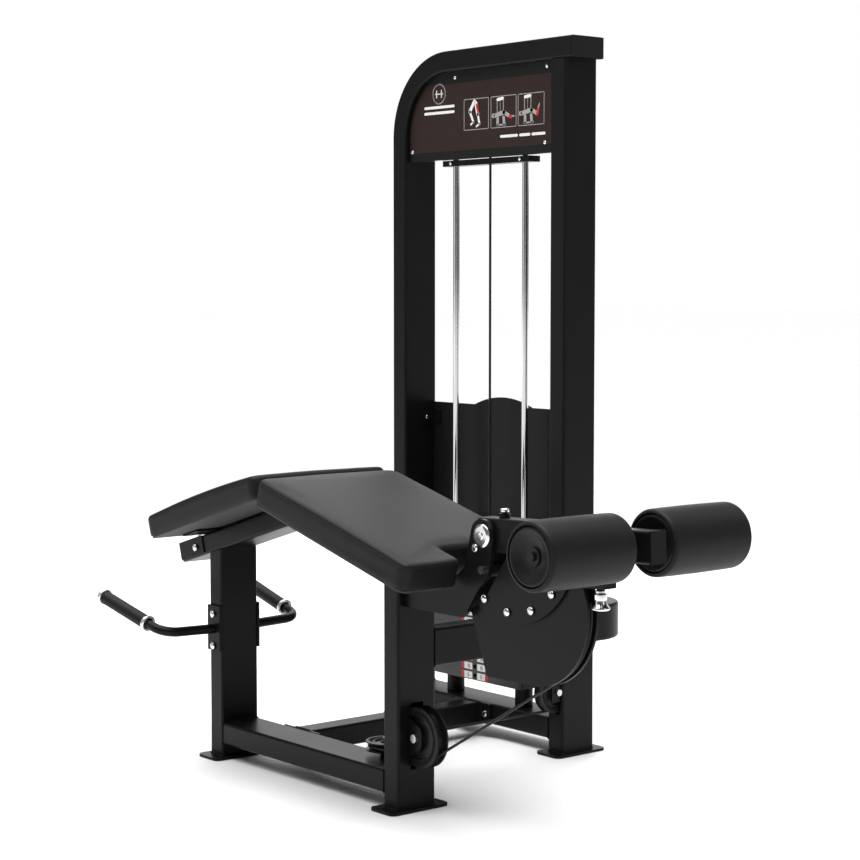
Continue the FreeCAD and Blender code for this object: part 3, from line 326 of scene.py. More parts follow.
@dataclass(frozen=True)
class BrightMetal:
    """Chrome, zinc plate or turned aluminium, with drawn or turned scratches."""

    name: str
    tone: float = 0.78
    gloss_low: float = 0.07
    gloss_high: float = 0.16
    drawn: Point = (1, 1, 1)
    depth: float = 0.04

    def material(self) -> bpy.types.Material:
        """The finish as a material."""
        shader = Shader(self.name)
        scratches = shader.noise(900, 3.0, 0.6, self.drawn)
        film = shader.noise(14, 4.0)
        shader.relief(scratches, self.depth, 0.0002)
        colour = shader.blend(film, grey(self.tone * 0.9), grey(self.tone))
        gloss = shader.spread(film * 0.5 + scratches * 0.5, self.gloss_low, self.gloss_high)
        return shader.finish(Base_Color=colour, Metallic=1.0, Roughness=gloss)


@dataclass(frozen=True)
class CastIron:
    """Cast weight plate under thin black paint."""

    name: str = "painted_iron"
    tone: float = 0.011

    def material(self) -> bpy.types.Material:
        """The finish as a material."""
        shader = Shader(self.name)
        sand = shader.noise(480, 5.0, 0.65)
        rub = shader.noise(18, 4.0)
        shader.relief(sand, 0.3, 0.0006)
        colour = shader.blend(rub, grey(self.tone * 0.8), grey(self.tone * 1.5))
        return shader.finish(Base_Color=colour, Roughness=shader.spread(rub, 0.38, 0.55))


@dataclass(frozen=True)
class Print:
    """A flat ink or film colour, a little mottled."""

    name: str
    colour: Point
    rough: float = 0.42

    def material(self) -> bpy.types.Material:
        """The finish as a material."""
        shader = Shader(self.name)
        mottle = shader.noise(160, 3.0)
        dull = tuple(channel * 0.86 for channel in self.colour) + (1.0,)
        shader.relief(mottle, 0.05, 0.0003)
        colour = shader.blend(mottle, dull, self.colour + (1.0,))
        gloss = shader.spread(mottle, self.rough - 0.05, self.rough + 0.08)
        return shader.finish(Base_Color=colour, Roughness=gloss, Specular_IOR_Level=0.16)


class Finish(Enum):
    """Every finish on the machine."""

    FRAME = PowderCoat()
    SHEET = PowderCoat("sheet_powder_coat", 0.009, 0.28, 0.38, 0.1)
    VINYL = Leathercloth()
    FOAM = FoamSkin()
    CAP = Moulded("moulded_cap", 0.007, 0.34, 0.46)
    NYLON = Moulded("pulley_nylon", 0.010, 0.26, 0.36, 900.0, 0.08)
    RUBBER = Moulded("moulded_rubber", 0.007, 0.42, 0.54, 1800.0, 0.3)
    UNDERSIDE = Moulded("board_lining", 0.05, 0.6, 0.75, 1300.0, 0.35)
    CABLE = Moulded("cable_sheath", 0.011, 0.26, 0.38, 2400.0, 0.2)
    CHROME = BrightMetal("rod_chrome", 0.82, 0.07, 0.16, (1, 1, 0.04))
    BOLT = BrightMetal("bolt_chrome", 0.86, 0.12, 0.24)
    STEEL = BrightMetal("plated_steel", 0.6, 0.24, 0.38, (1, 0.1, 1), 0.1)
    ALUMINIUM = BrightMetal("turned_aluminium", 0.75, 0.2, 0.34, (1, 1, 1), 0.1)
    IRON = CastIron()
    SIGN = Print("sign_brown", (0.024, 0.0135, 0.0115), 0.4)
    WHITE_INK = Print("white_ink", (0.78, 0.77, 0.75))
    GREY_INK = Print("grey_ink", (0.34, 0.33, 0.32))
    RED_INK = Print("red_ink", (0.55, 0.03, 0.035))
    DARK_INK = Print("dark_ink", (0.02, 0.02, 0.02))


class Paint:
    """Makes each finish once and puts it on pieces and CAD nodes."""

    def __init__(self, nodes: dict[str, bpy.types.Object]) -> None:
        """Keeps the CAD nodes that will be dressed."""
        self.nodes = nodes
        self.made: dict[Finish, bpy.types.Material] = {}

    def get(self, finish: Finish) -> bpy.types.Material:
        """The finish's material."""
        if finish not in self.made:
            self.made[finish] = finish.value.material()
        return self.made[finish]

    def coat(self, piece: bpy.types.Object, finish: Finish) -> bpy.types.Object:
        """Puts one finish all over a piece."""
        piece.data.materials.clear()
        piece.data.materials.append(self.get(finish))
        return piece

    def fix(self, piece: bpy.types.Object, finish: Finish, body: str,
            node: str = "") -> None:
        """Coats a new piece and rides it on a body.

        Args:
            piece: the piece.
            finish: what it is coated with.
            body: the body that it moves with.
            node: the CAD node whose place it takes, if any.
        """
        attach(self.coat(piece, finish), body)
        if node:
            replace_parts(piece, node)
        LOG.info("built %s", piece.name)

    def node(self, name: str, finish: Finish, bevel: float = 0.0) -> None:
        """Dresses a CAD node.

        Args:
            name: the node.
            finish: what it is coated with.
            bevel: width of its edge rounding, in metres.
        """
        target = self.nodes[name]
        for slot in target.material_slots:
            slot.material = self.get(finish)
        if not target.material_slots:
            target.data.materials.append(self.get(finish))
        if bevel:
            soft = target.modifiers.new("edge", "BEVEL")
            soft.width = bevel
            soft.segments = 3
            soft.limit_method = "ANGLE"
            soft.angle_limit = math.radians(40)
            soft.harden_normals = True
            soft.use_clamp_overlap = True
        LOG.info("dressed %s", name)


# --------------------------------------------------------------------------------------------
# Mesh building
# --------------------------------------------------------------------------------------------
def link(made: bpy.types.Object) -> bpy.types.Object:
    """Puts an object in the scene."""
    bpy.context.scene.collection.objects.link(made)
    return made


def make_piece(name: str, points: Sequence, faces: Sequence, smooth: float = 40.0
               ) -> bpy.types.Object:
    """A mesh object from points and faces.

    Args:
        name: the piece's name.
        points: its vertices.
        faces: vertex numbers of each face.
        smooth: the angle in degrees above which an edge stays sharp.

    Returns:
        The object, linked to the scene.
    """
    mesh = bpy.data.meshes.new(name)
    mesh.from_pydata([tuple(point) for point in points], [], [tuple(face) for face in faces])
    mesh.validate()
    with reshaped(mesh) as shape:
        bmesh.ops.recalc_face_normals(shape, faces=shape.faces)
        for face in shape.faces:
            face.smooth = True
        for edge in shape.edges:
            edge.smooth = (len(edge.link_faces) < 2
                           or edge.calc_face_angle(0) < math.radians(smooth))
    return link(bpy.data.objects.new(name, mesh))


@contextmanager
def reshaped(mesh: bpy.types.Mesh) -> Iterator[bmesh.types.BMesh]:
    """Opens a mesh for editing and writes it back.

    Args:
        mesh: the mesh.

    Yields:
        The mesh's editable form, for as long as the block lasts.
    """
    shape = bmesh.new()
    shape.from_mesh(mesh)
    yield shape
    shape.to_mesh(mesh)
    shape.free()


@contextmanager
def moved_points(mesh: bpy.types.Mesh) -> Iterator[np.ndarray]:
    """Opens a mesh's points as rows of x, y and z, and writes them back.

    Args:
        mesh: the mesh.

    Yields:
        The rows, for as long as the block lasts.
    """
    flat = np.empty(len(mesh.vertices) * 3)
    mesh.vertices.foreach_get("co", flat)
    points = flat.reshape(-1, 3)
    yield points
    mesh.vertices.foreach_set("co", points.ravel())
    mesh.update()


def facing(axis: Sequence[float]) -> Matrix:
    """The rotation that takes +Z to an axis."""
    return Vector((0, 0, 1)).rotation_difference(Vector(axis)).to_matrix().to_4x4()


def joined(name: str, pieces: Iterable[bpy.types.Object]) -> bpy.types.Object:
    """One object from several, in place.

    Args:
        name: the new object's name.
        pieces: the objects, which are removed.

    Returns:
        The object, linked to the scene.
    """
    gathered = bmesh.new()
    given = list(pieces)
    for piece in given:
        gathered.from_mesh(piece.data)
    mesh = bpy.data.meshes.new(name)
    gathered.to_mesh(mesh)
    gathered.free()
    for piece in given:
        bpy.data.objects.remove(piece)
    return link(bpy.data.objects.new(name, mesh))


def turned(name: str, profile: Sequence[tuple[float, float]], centre: Sequence[float],
           axis: Sequence[float], segments: int = 96) -> bpy.types.Object:
    """A turned piece.

    Args:
        name: the piece's name.
        profile: (radius, distance along the axis) pairs, as an open or a closed run.
        centre: where distance 0 lies.
        axis: the turning axis.
        segments: steps round the circle.

    Returns:
        The object.
    """
    place = Matrix.Translation(Vector(centre)) @ facing(axis)
    points, faces = [], []
    count = len(profile)
    closed = profile[0] == profile[-1]
    for step in range(segments):
        angle = 2 * math.pi * step / segments
        points += [place @ Vector((radius * math.cos(angle), radius * math.sin(angle), along))
                   for radius, along in profile]
        here, following = step * count, (step + 1) % segments * count
        faces += [(here + index, here + index + 1, following + index + 1, following + index)
                  for index in range(count - 1)]
    piece = make_piece(name, points, faces)
    with reshaped(piece.data) as shape:
        bmesh.ops.remove_doubles(shape, verts=shape.verts, dist=1e-6)
        if not closed:
            bmesh.ops.holes_fill(shape, edges=[edge for edge in shape.edges if edge.is_boundary])
        bmesh.ops.recalc_face_normals(shape, faces=shape.faces)
    return piece


def swept(name: str, path: Sequence[Sequence[float]], radius: float | Callable[[float], float],
          sides: int = 16, closed: bool = False) -> bpy.types.Object:
    """A round bar along a path.

    Args:
        name: the piece's name.
        path: points along the centre line.
        radius: the bar's radius, or a function of the distance along the path.
        sides: sides of the round section.
        closed: whether the path returns to its start.

    Returns:
        The object.
    """
    line = [Vector(point) for point in path]
    count = len(line)
    points, faces = [], []
    travelled = 0.0
    across = None
    for index, here in enumerate(line):
        ahead = line[(index + 1) % count] if closed or index + 1 < count else here
        behind = line[index - 1] if closed or index else here
        along = (ahead - behind).normalized()
        if across is None:
            across = along.orthogonal().normalized()
        across = (across - along * across.dot(along)).normalized()
        other = along.cross(across)
        travelled += (here - behind).length if index else 0.0
        size = radius(travelled) if callable(radius) else radius
        for side in range(sides):
            angle = 2 * math.pi * side / sides
            points.append(here + across * (size * math.cos(angle))
                          + other * (size * math.sin(angle)))
    for index in range(count if closed else count - 1):
        following = (index + 1) % count
        for side in range(sides):
            turn = (side + 1) % sides
            faces.append((index * sides + side, index * sides + turn,
                          following * sides + turn, following * sides + side))
    if not closed:
        faces.append(tuple(range(sides)))
        faces.append(tuple((count - 1) * sides + side for side in range(sides)))
    return make_piece(name, points, faces)


def slab(name: str, outline: Loop, place: Matrix, thick: float, bevel: float = 0.0
         ) -> bpy.types.Object:
    """A flat piece with any outline.

    Args:
        name: the piece's name.
        outline: the outline in the piece's own XY plane.
        place: where that plane lies.
        thick: thickness along the plane's +Z.
        bevel: width of the edge rounding.

    Returns:
        The object.
    """
    count = len(outline)
    points = [place @ Vector((x, y, z)) for z in (0.0, thick) for x, y in outline]
    faces = [tuple(range(count)), tuple(range(count, 2 * count))]
    faces += [(index, (index + 1) % count, count + (index + 1) % count, count + index)
              for index in range(count)]
    piece = make_piece(name, points, faces)
    if bevel:
        with reshaped(piece.data) as shape:
            sharp = [edge for edge in shape.edges if edge.calc_face_angle(0) > 0.6]
            bmesh.ops.bevel(shape, geom=sharp, offset=bevel, segments=2, affect="EDGES")
    return piece


def rounded_loop(corners: Sequence[tuple[float, float, float]], steps: int = 10) -> Loop:
    """A closed outline with rounded corners.

    Args:
        corners: (x, y, radius) of each corner, in order round the outline.
        steps: points on each rounded corner.

    Returns:
        The outline's points.
    """
    loop: Loop = []
    for index, (x, y, radius) in enumerate(corners):
        here = Vector((x, y))
        before = (Vector(corners[index - 1][:2]) - here).normalized()
        after = (Vector(corners[(index + 1) % len(corners)][:2]) - here).normalized()
        if radius <= 0:
            loop.append((x, y))
            continue
        half = before.angle(after) / 2
        reach = radius / math.tan(half)
        middle = here + (before + after).normalized() * (radius / math.sin(half))
        start, end = here + before * reach - middle, here + after * reach - middle
        swing = start.angle_signed(end)
        for step in range(steps + 1):
            turn = -swing * step / steps
            loop.append((middle.x + start.x * math.cos(turn) - start.y * math.sin(turn),
                         middle.y + start.x * math.sin(turn) + start.y * math.cos(turn)))
    return loop


def ring_profile(points: Sequence[tuple[float, float]], round_by: float, steps: int = 5
                 ) -> list[tuple[float, float]]:
    """A turning profile whose inner corners are rounded.

    Args:
        points: (radius, distance) pairs of the sharp profile.
        round_by: how far each rounding reaches along its two sides.
        steps: points on each rounding.

    Returns:
        The rounded profile.
    """
    rounded: list[tuple[float, float]] = [points[0]]
    for before, here, after in zip(points, points[1:], points[2:]):
        middle = Vector(here)
        back, ahead = Vector(before) - middle, Vector(after) - middle
        reach = min(round_by, back.length * 0.45, ahead.length * 0.45)
        start, end = middle + back.normalized() * reach, middle + ahead.normalized() * reach
        for step in range(steps + 1):
            share = step / steps
            point = start * (1 - share) ** 2 + middle * (2 * share * (1 - share)) + end * share ** 2
            rounded.append((point.x, point.y))
    rounded.append(points[-1])
    return rounded


# --------------------------------------------------------------------------------------------
# Cushions
# --------------------------------------------------------------------------------------------
@dataclass
class Cushion:
    """One upholstered pad: a stuffed, stapled cover with a sewn top edge."""

    name: str
    origin: Point
    tilt: float
    length: float
    width: float
    thickness: float
    meet: float
    corner: float = 0.026
    notch_depth: float = 0.0
    notch_width: float = 0.0
    crown: float = 0.0
    voxel: float = 0.006
    cap: float = 0.0028
    lift: float = 0.0016

    def place(self) -> Matrix:
        """Where the pad's own frame lies: x down the pad, z out of its top."""
        return Matrix.Translation(self.origin) @ Matrix.Rotation(self.tilt, 4, "Y")

    def outline(self, inset: float) -> Loop:
        """The pad's plan, drawn in by an inset."""
        low, high = inset, self.length - inset
        half = self.width / 2 - inset
        corner = self.corner - inset * 0.5
        if not self.notch_depth:
            return rounded_loop([(low, -half, corner), (high, -half, corner),
                                 (high, half, corner), (low, half, corner)])
        gap = self.notch_width / 2 + inset
        back = self.length - self.notch_depth - inset
        return rounded_loop([
            (low, -half, corner), (high, -half, corner), (high, -gap, 0.012),
            (back, -gap, 0.004), (back, gap, 0.004), (high, gap, 0.012), (high, half, corner),
            (low, half, corner)])

    def build(self, paint: Paint) -> None:
        """Builds the cushion with its seams and hides the plain CAD pad."""
        inset = 0.0022
        base = -self.thickness + self.lift
        outline = self.outline(inset)
        body = slab(self.name, outline, Matrix.Translation((0, 0, base)), -base - 0.0035, 0.005)
        remeshed(body, self.voxel)
        stuffed(body, base + 0.004, 4.0, self.cap)
        self._crown(body)
        smooth = body.modifiers.new("soften", "SUBSURF")
        smooth.levels = smooth.render_levels = 1
        settle(body)
        seams = self._seams(body, base)
        for piece in (body, seams):
            piece.data.transform(self.place())
            self._press(piece)
        for face in body.data.polygons:
            face.use_smooth = True
        paint.fix(body, Finish.VINYL, "frame", self.name.replace("_cover", ""))
        paint.fix(seams, Finish.VINYL, "frame")

    def _press(self, piece: bpy.types.Object) -> None:
        """Flattens the end where the two cushions press together at the bench's peak."""
        keep = np.minimum if self.origin[0] < self.meet - 0.1 else np.maximum
        with moved_points(piece.data) as points:
            points[:, 0] = keep(points[:, 0], self.meet)

    def _crown(self, body: bpy.types.Object) -> None:
        """Lifts the middle of the top, along the pad and a little across it."""
        cross_crown = 0.002
        with moved_points(body.data) as points:
            share = np.clip(points[:, 0] / self.length, 0, 1)
            height = np.clip(points[:, 2] / self.thickness + 1, 0, 1)
            sideways = np.clip(2 * np.abs(points[:, 1]) / self.width, 0, 1)
            points[:, 2] += height * 4 * share * (1 - share) * self.crown
            points[:, 2] += height * cross_crown * (1 - sideways ** 2)

    def _seams(self, body: bpy.types.Object, base: float) -> bpy.types.Object:
        """The sewn edge under the top panel and the hem along the underside."""
        shape = bmesh.new()
        shape.from_mesh(body.data)
        tree = BVHTree.FromBMesh(shape)
        shape.free()
        outline = denser(self.outline(0.002), 0.004)
        lines = []
        for label, level in (("top", -0.0105), ("hem", base + 0.004)):
            path = []
            for x, y in outline:
                share = min(max(x / self.length, 0), 1)
                rise = (1 + level / self.thickness) * 4 * share * (1 - share) * self.crown
                found = tree.find_nearest(Vector((x, y, level + rise)))[0]
                path.append(found)
            lines.append(swept(f"{self.name}_{label}", path, stitch_radius, 8, True))
        return joined(f"{self.name}_seams", lines)


def stitch_radius(travelled: float) -> float:
    """The seam's radius, which dips between its stitches."""
    return 0.0007 + 0.00025 * math.cos(2 * math.pi * travelled / 0.005)


def denser(outline: Loop, step: float) -> Loop:
    """The same outline with points no further apart than a step.

    Args:
        outline: the closed outline.
        step: the widest gap.

    Returns:
        The outline's points.
    """
    fine: Loop = []
    for (x0, y0), (x1, y1) in zip(outline, outline[1:] + outline[:1]):
        pieces = max(1, round(math.hypot(x1 - x0, y1 - y0) / step))
        fine += [(x0 + (x1 - x0) * part / pieces, y0 + (y1 - y0) * part / pieces)
                 for part in range(pieces)]
    return fine


def settle(piece: bpy.types.Object) -> None:
    """Applies every modifier on a piece.

    Args:
        piece: the piece.
    """
    graph = bpy.context.evaluated_depsgraph_get()
    graph.update()
    mesh = bpy.data.meshes.new_from_object(piece.evaluated_get(graph))
    old = piece.data
    piece.modifiers.clear()
    piece.data = mesh
    bpy.data.meshes.remove(old)


def remeshed(piece: bpy.types.Object, voxel: float) -> None:
    """Rebuilds a closed shape as an even net of small faces.

    Args:
        piece: the shape.
        voxel: the size of the net's faces.
    """
    remesh = piece.modifiers.new("net", "REMESH")
    remesh.mode = "VOXEL"
    remesh.voxel_size = voxel
    settle(piece)


def evened(mesh: bpy.types.Mesh, move: np.ndarray, rounds: int) -> np.ndarray:
    """Evens out how far neighbouring points move, which presses small creases flat.

    Args:
        mesh: the net that joins the points.
        move: each point's movement.
        rounds: how many times each point takes its neighbours' mean.

    Returns:
        The evened movement.
    """
    pairs = np.empty(len(mesh.edges) * 2, dtype=np.int64)
    mesh.edges.foreach_get("vertices", pairs)
    first, second = pairs[0::2], pairs[1::2]
    count = np.bincount(pairs, minlength=len(mesh.vertices)).reshape(-1, 1)
    for _ in range(rounds):
        total = np.zeros_like(move)
        np.add.at(total, first, move[second])
        np.add.at(total, second, move[first])
        move = 0.5 * move + 0.5 * total / np.maximum(count, 1)
    return move


def stuffed(piece: bpy.types.Object, flat_below: float, pressure: float, cap: float) -> None:
    """Swells a cover over its foam with a cloth simulation, then applies the result.

    Args:
        piece: the closed cover.
        flat_below: height under which the cover is stapled and doesn't move.
        pressure: how hard the foam pushes.
        cap: the furthest that any point may move.
    """
    start = np.array([tuple(vertex.co) for vertex in piece.data.vertices])
    held = piece.vertex_groups.new(name="stapled")
    held.add([int(index) for index in np.flatnonzero(start[:, 2] < flat_below)], 1.0, "REPLACE")
    cloth = piece.modifiers.new("cover", "CLOTH")
    cloth.settings.quality = 5
    cloth.settings.use_pressure = True
    cloth.settings.uniform_pressure_force = pressure
    cloth.settings.tension_stiffness = 25
    cloth.settings.compression_stiffness = 25
    cloth.settings.bending_stiffness = 1.5
    cloth.settings.vertex_group_mass = held.name
    cloth.settings.effector_weights.gravity = 0
    cloth.collision_settings.use_collision = False
    scene = bpy.context.scene
    for frame_number in range(1, 21):
        scene.frame_set(frame_number)
    graph = bpy.context.evaluated_depsgraph_get()
    result = piece.evaluated_get(graph).to_mesh()
    end = np.array([tuple(vertex.co) for vertex in result.vertices])
    move = evened(piece.data, end - start, 40)
    far = np.linalg.norm(move, axis=1, keepdims=True)
    move *= np.minimum(1.0, cap / np.maximum(far, 1e-9))
    piece.evaluated_get(graph).to_mesh_clear()
    piece.modifiers.clear()
    piece.data.vertices.foreach_set("co", (start + move).ravel())
    piece.data.update()
    scene.frame_set(1)
    piece.vertex_groups.clear()


# --------------------------------------------------------------------------------------------
# Rollers and their lever
# --------------------------------------------------------------------------------------------
@dataclass
class Roller:
    """A foam roller on a flanged spool, with a dished cap at each end."""

    side: str
    axle: Point
    inner: float = 0.049
    outer: float = 0.257
    radius: float = 0.065
    cap_radius: float = 0.0535
    dish: float = 0.0105

    def build(self, paint: Paint) -> None:
        """Builds the foam and both caps, in place of the plain CAD roller and spool."""
        sign = -1.0 if self.side == "near" else 1.0
        half = (self.outer - self.inner) / 2
        centre = (self.axle[0], sign * (self.inner + half), self.axle[2])
        body = f"roller_{self.side}"
        foam = turned(f"{self.side}_roller_foam", self._foam(half), centre, (0, 1, 0), 128)
        paint.fix(foam, Finish.FOAM, body, f"{self.side}_roller")
        caps = [turned(f"{self.side}_cap{index}", self._cap(half), centre, (0, way, 0), 96)
                for index, way in enumerate((-1, 1))]
        spool = joined(f"{self.side}_roller_caps", caps)
        self._axle_nut(paint, sign)
        paint.fix(spool, Finish.CAP, body, f"{self.side}_roller_core")

    def _axle_nut(self, paint: Paint, sign: float) -> None:
        """The small domed nut that shows in the dish at the roller's outer end."""
        dome = [(0.0, 0.004)]
        for step in range(1, 9):
            angle = math.pi / 2 * step / 8
            dome.append((0.0048 * math.sin(angle), 0.004 * math.cos(angle)))
        profile = dome + [(0.0048, -0.002), (0.0, -0.002)]
        centre = (self.axle[0], sign * (self.outer - 0.0095), self.axle[2])
        nut = turned(f"{self.side}_axle_nut", profile, centre, (0, sign, 0), 32)
        paint.fix(nut, Finish.BOLT, "carriage")

    def _foam(self, half: float) -> list[tuple[float, float]]:
        """The foam's section: a barely crowned tube with soft shoulders."""
        outer, inner, reach = self.radius, self.cap_radius + 0.0026, 0.0075
        profile = [(inner, -half + 0.012), (inner, -half + 0.0015)]
        for step in range(9):
            angle = math.pi / 2 * step / 8
            profile.append((outer - 0.0012 - reach + reach * math.sin(angle),
                            -half + reach - reach * math.cos(angle)))
        profile += [(outer - 0.0006, -half * 0.6), (outer - 0.0002, 0.0),
                    (outer - 0.0006, half * 0.6)]
        for step in range(9):
            angle = math.pi / 2 * (8 - step) / 8
            profile.append((outer - 0.0012 - reach + reach * math.sin(angle),
                            half - reach + reach * math.cos(angle)))
        profile += [(inner, half - 0.0015), (inner, half - 0.012), (inner, -half + 0.012)]
        return profile

    def _cap(self, half: float) -> list[tuple[float, float]]:
        """A cap's section: a raised lip, a long dish and a hub round the axle."""
        lip, bore = self.cap_radius, 0.0131
        shape = [(bore, half - 0.018), (bore, half - 0.0128), (0.0185, half - 0.0122)]
        for step in range(11):
            share = step / 10
            radius = 0.0205 + (lip - 0.0065 - 0.0205) * share
            shape.append((radius, half - 0.0118 + self.dish * share ** 1.7))
        shape += [(lip - 0.0045, half - 0.0006), (lip - 0.0018, half - 0.0007),
                  (lip, half - 0.0022), (lip, half - 0.016), (0.03, half - 0.0165),
                  (bore, half - 0.018)]
        return shape


@dataclass
class Lever:
    """The pivoting lever: arm, cam, shaft, pins and the tube that carries the rollers."""

    axle: Point = (0.650003, 0.0, 0.614984)
    pivot: Point = (0.272, 0.0, 0.6)
    tilt: float = math.radians(-2.27)
    pin_reach: float = 0.291
    half_high: float = 0.034
    cheek_out: float = 0.033
    cap_radius: float = 0.0235

    def build(self, paint: Paint) -> None:
        """Dresses the lever's CAD nodes and builds its turned hardware."""
        for name in ("lever_arm", "carriage_tube", "cam_core"):
            paint.node(name, Finish.FRAME)
        for name in ("cam_plates", "cam_discs", "pin_housings", "pivot_cheeks"):
            paint.node(name, Finish.FRAME, 0.0012)
        paint.node("pivot_shaft", Finish.STEEL, 0.0008)
        paint.node("roller_axle", Finish.CAP, 0.0008)
        paint.node("pivot_bearings", Finish.STEEL, 0.0006)
        self._caps(paint)
        self._pins(paint)
        for side in ("near", "far"):
            Roller(side, self.axle).build(paint)

    def _at(self, along: float, up: float) -> Vector:
        """A point on the arm's own axes, from the pivot."""
        turn = Matrix.Rotation(self.tilt, 4, "Y")
        return Vector(self.pivot) + turn @ Vector((along, 0, up))

    def _up(self) -> Vector:
        """The arm's upward direction."""
        return Matrix.Rotation(self.tilt, 4, "Y") @ Vector((0, 0, 1))

    def _caps(self, paint: Paint) -> None:
        """Domed chrome caps over the pivot shaft's ends."""
        radius, start = self.cap_radius, self.cheek_out + 0.0004
        profile = ring_profile([(0.0, start + 0.0102), (0.007, start + 0.0101),
                                (0.0085, start + 0.0088), (radius - 0.0055, start + 0.0086),
                                (radius, start + 0.0058), (radius, start), (0.0, start)], 0.0012)
        caps = [turned(f"shaft_cap{index}", profile, (self.pivot[0], 0, self.pivot[2]), (0, way, 0))
                for index, way in enumerate((-1, 1))]
        caps = joined("pivot_caps", caps)
        paint.fix(caps, Finish.BOLT, "lever", "shaft_caps")

    def _pins(self, paint: Paint) -> None:
        """The flared pull pin and the small sprung start knob."""
        top = -self.half_high
        grip = ring_profile([(0.0, top - 0.093), (0.0145, top - 0.093), (0.0175, top - 0.0905),
                             (0.0172, top - 0.0878), (0.0118, top - 0.0805), (0.0102, top - 0.0735),
                             (0.012, top - 0.0725), (0.012, top - 0.062), (0.0095, top - 0.0605),
                             (0.0095, top - 0.0555), (0.005, top - 0.052), (0.005, top + 0.0099),
                             (0.0, top + 0.0099)], 0.0012)
        pull = turned("length_pin_grip", grip, self._at(self.pin_reach, 0), self._up())
        paint.fix(pull, Finish.BOLT, "length_pin", "pull_pin")
        high = self.half_high
        knob = ring_profile([(0.0, high + 0.0192), (0.0075, high + 0.0186),
                             (0.009, high + 0.0165), (0.009, high + 0.0125),
                             (0.0072, high + 0.0098), (0.004, high + 0.0094),
                             (0.004, high - 0.0178), (0.0, high - 0.018)], 0.001)
        start = turned("start_pin_knob", knob, self._at(0.027, 0), self._up(), 48)
        paint.fix(start, Finish.BOLT, "start_pin", "start_knob")


# --------------------------------------------------------------------------------------------
# Pulleys and cable
# --------------------------------------------------------------------------------------------
@dataclass
class Pulley:
    """A moulded pulley with a rounded groove, a sunk web and a raised hub."""

    node: str
    body: str
    axis: Point
    centre: Point
    groove: float
    rim: float
    wide: float
    bore: float = 0.0061

    def build(self, paint: Paint) -> None:
        """Builds the pulley in place of the plain CAD one."""
        half, rim, seat = self.wide / 2, self.rim, self.groove - 0.0033
        side = [(self.bore, half), (0.014, half), (0.0155, half - 0.0035),
                (rim - 0.021, half - 0.0045), (rim - 0.019, half - 0.0012),
                (rim - 0.0125, half - 0.0012), (rim - 0.011, half), (rim - 0.0008, half),
                (rim, half - 0.001), (rim, half * 0.72)]
        arc = []
        for step in range(1, 12):
            angle = math.pi * step / 12
            arc.append((rim - (rim - seat) * math.sin(angle) ** 0.8,
                        math.cos(angle) * half * 0.7))
        mirror = [(radius, -along) for radius, along in reversed(side)]
        profile = side + arc + mirror + [side[0]]
        wheel = turned(f"{self.node}_wheel", profile, self.centre, self.axis, 96)
        paint.fix(wheel, Finish.NYLON, self.body, self.node)


@dataclass
class Cable:
    """The sheathed cable: round the cam, along the bench and up to the stack.

    Its lead turns only within wrap_zone of the cam, so the rest keeps its line as the cam turns.
    """

    radius: float = 0.003
    knee_leave: Point = (0.07159, 0.0, 0.11289)
    cam_touch: Point = (0.46921, 0.0, 0.34370)
    stack_top: float = 0.504
    pulley_mid: float = 1.584
    stack_x: float = -0.452
    stack_y: float = 0.618
    travel: float = 0.4538
    wrap_zone: float = 0.05

    def build(self, paint: Paint) -> None:
        """Dresses the fixed runs and builds the two runs that change shape."""
        for name in ("cable_run", "cam_cable"):
            paint.node(name, Finish.CABLE)
        start, end = Vector(self.knee_leave), Vector(self.cam_touch)
        turn = end + (start - end).normalized() * self.wrap_zone
        path = [start, *(turn.lerp(end, step / 60) for step in range(61))]
        lead = swept("cam_lead_cable", path, self.radius, 20)
        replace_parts(paint.coat(lead, Finish.CABLE), "cable_lead")
        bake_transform(lead)
        low = Vector((self.stack_x, self.stack_y, self.stack_top))
        high = Vector((self.stack_x, self.stack_y, self.pulley_mid))
        drop = swept("stack_drop_cable", [low.lerp(high, step / 60) for step in range(61)],
                     self.radius, 20)
        paint.fix(drop, Finish.CABLE, "frame", "cable_drop")
        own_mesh(drop)


# --------------------------------------------------------------------------------------------
# Fasteners
# --------------------------------------------------------------------------------------------
class Head(Enum):
    """The two kinds of head on the machine's fasteners."""

    BUTTON = "button"
    PAN = "pan"


@dataclass
class Fasteners:
    """Detailed heads in place of the plain ones in a CAD group of fasteners."""

    node: str
    body: str
    kind: Head = Head.BUTTON
    keep_long: float = 0.02

    def build(self, paint: Paint) -> None:
        """Finds each head in the CAD node and builds a turned one in its place."""
        source = paint.nodes[self.node]
        heads = []
        for index, island in enumerate(islands(source)):
            middle, axis, radius, length = cylinder_of(island)
            if length > self.keep_long:
                heads.append(swept(f"{self.node}_bar{index}",
                                   [middle - axis * (length / 2), middle + axis * (length / 2)],
                                   radius, 32))
                continue
            heads.append(self._head(index, middle, axis, radius, length))
        whole = joined(f"{self.node}_heads", heads)
        paint.fix(whole, Finish.BOLT, self.body, self.node)

    def _head(self, index: int, middle: Vector, axis: Vector, radius: float, length: float
              ) -> bpy.types.Object:
        """A head that is domed on both faces, so either face can be the outer one."""
        half = length / 2
        flat = 0.4 if self.kind is Head.PAN else 0.0
        dome = [(0.0, half - 0.0008), (radius * flat, half)] if flat else [(0.0, half)]
        for step in range(1, 13):
            angle = math.pi / 2 * step / 12
            dome.append((radius * (flat + (1 - flat) * math.sin(angle)),
                         -half * 0.35 + half * 1.35 * math.cos(angle)))
        profile = dome + [(rim, -along) for rim, along in reversed(dome)]
        return turned(f"{self.node}_head{index}", profile, middle, axis, 40)


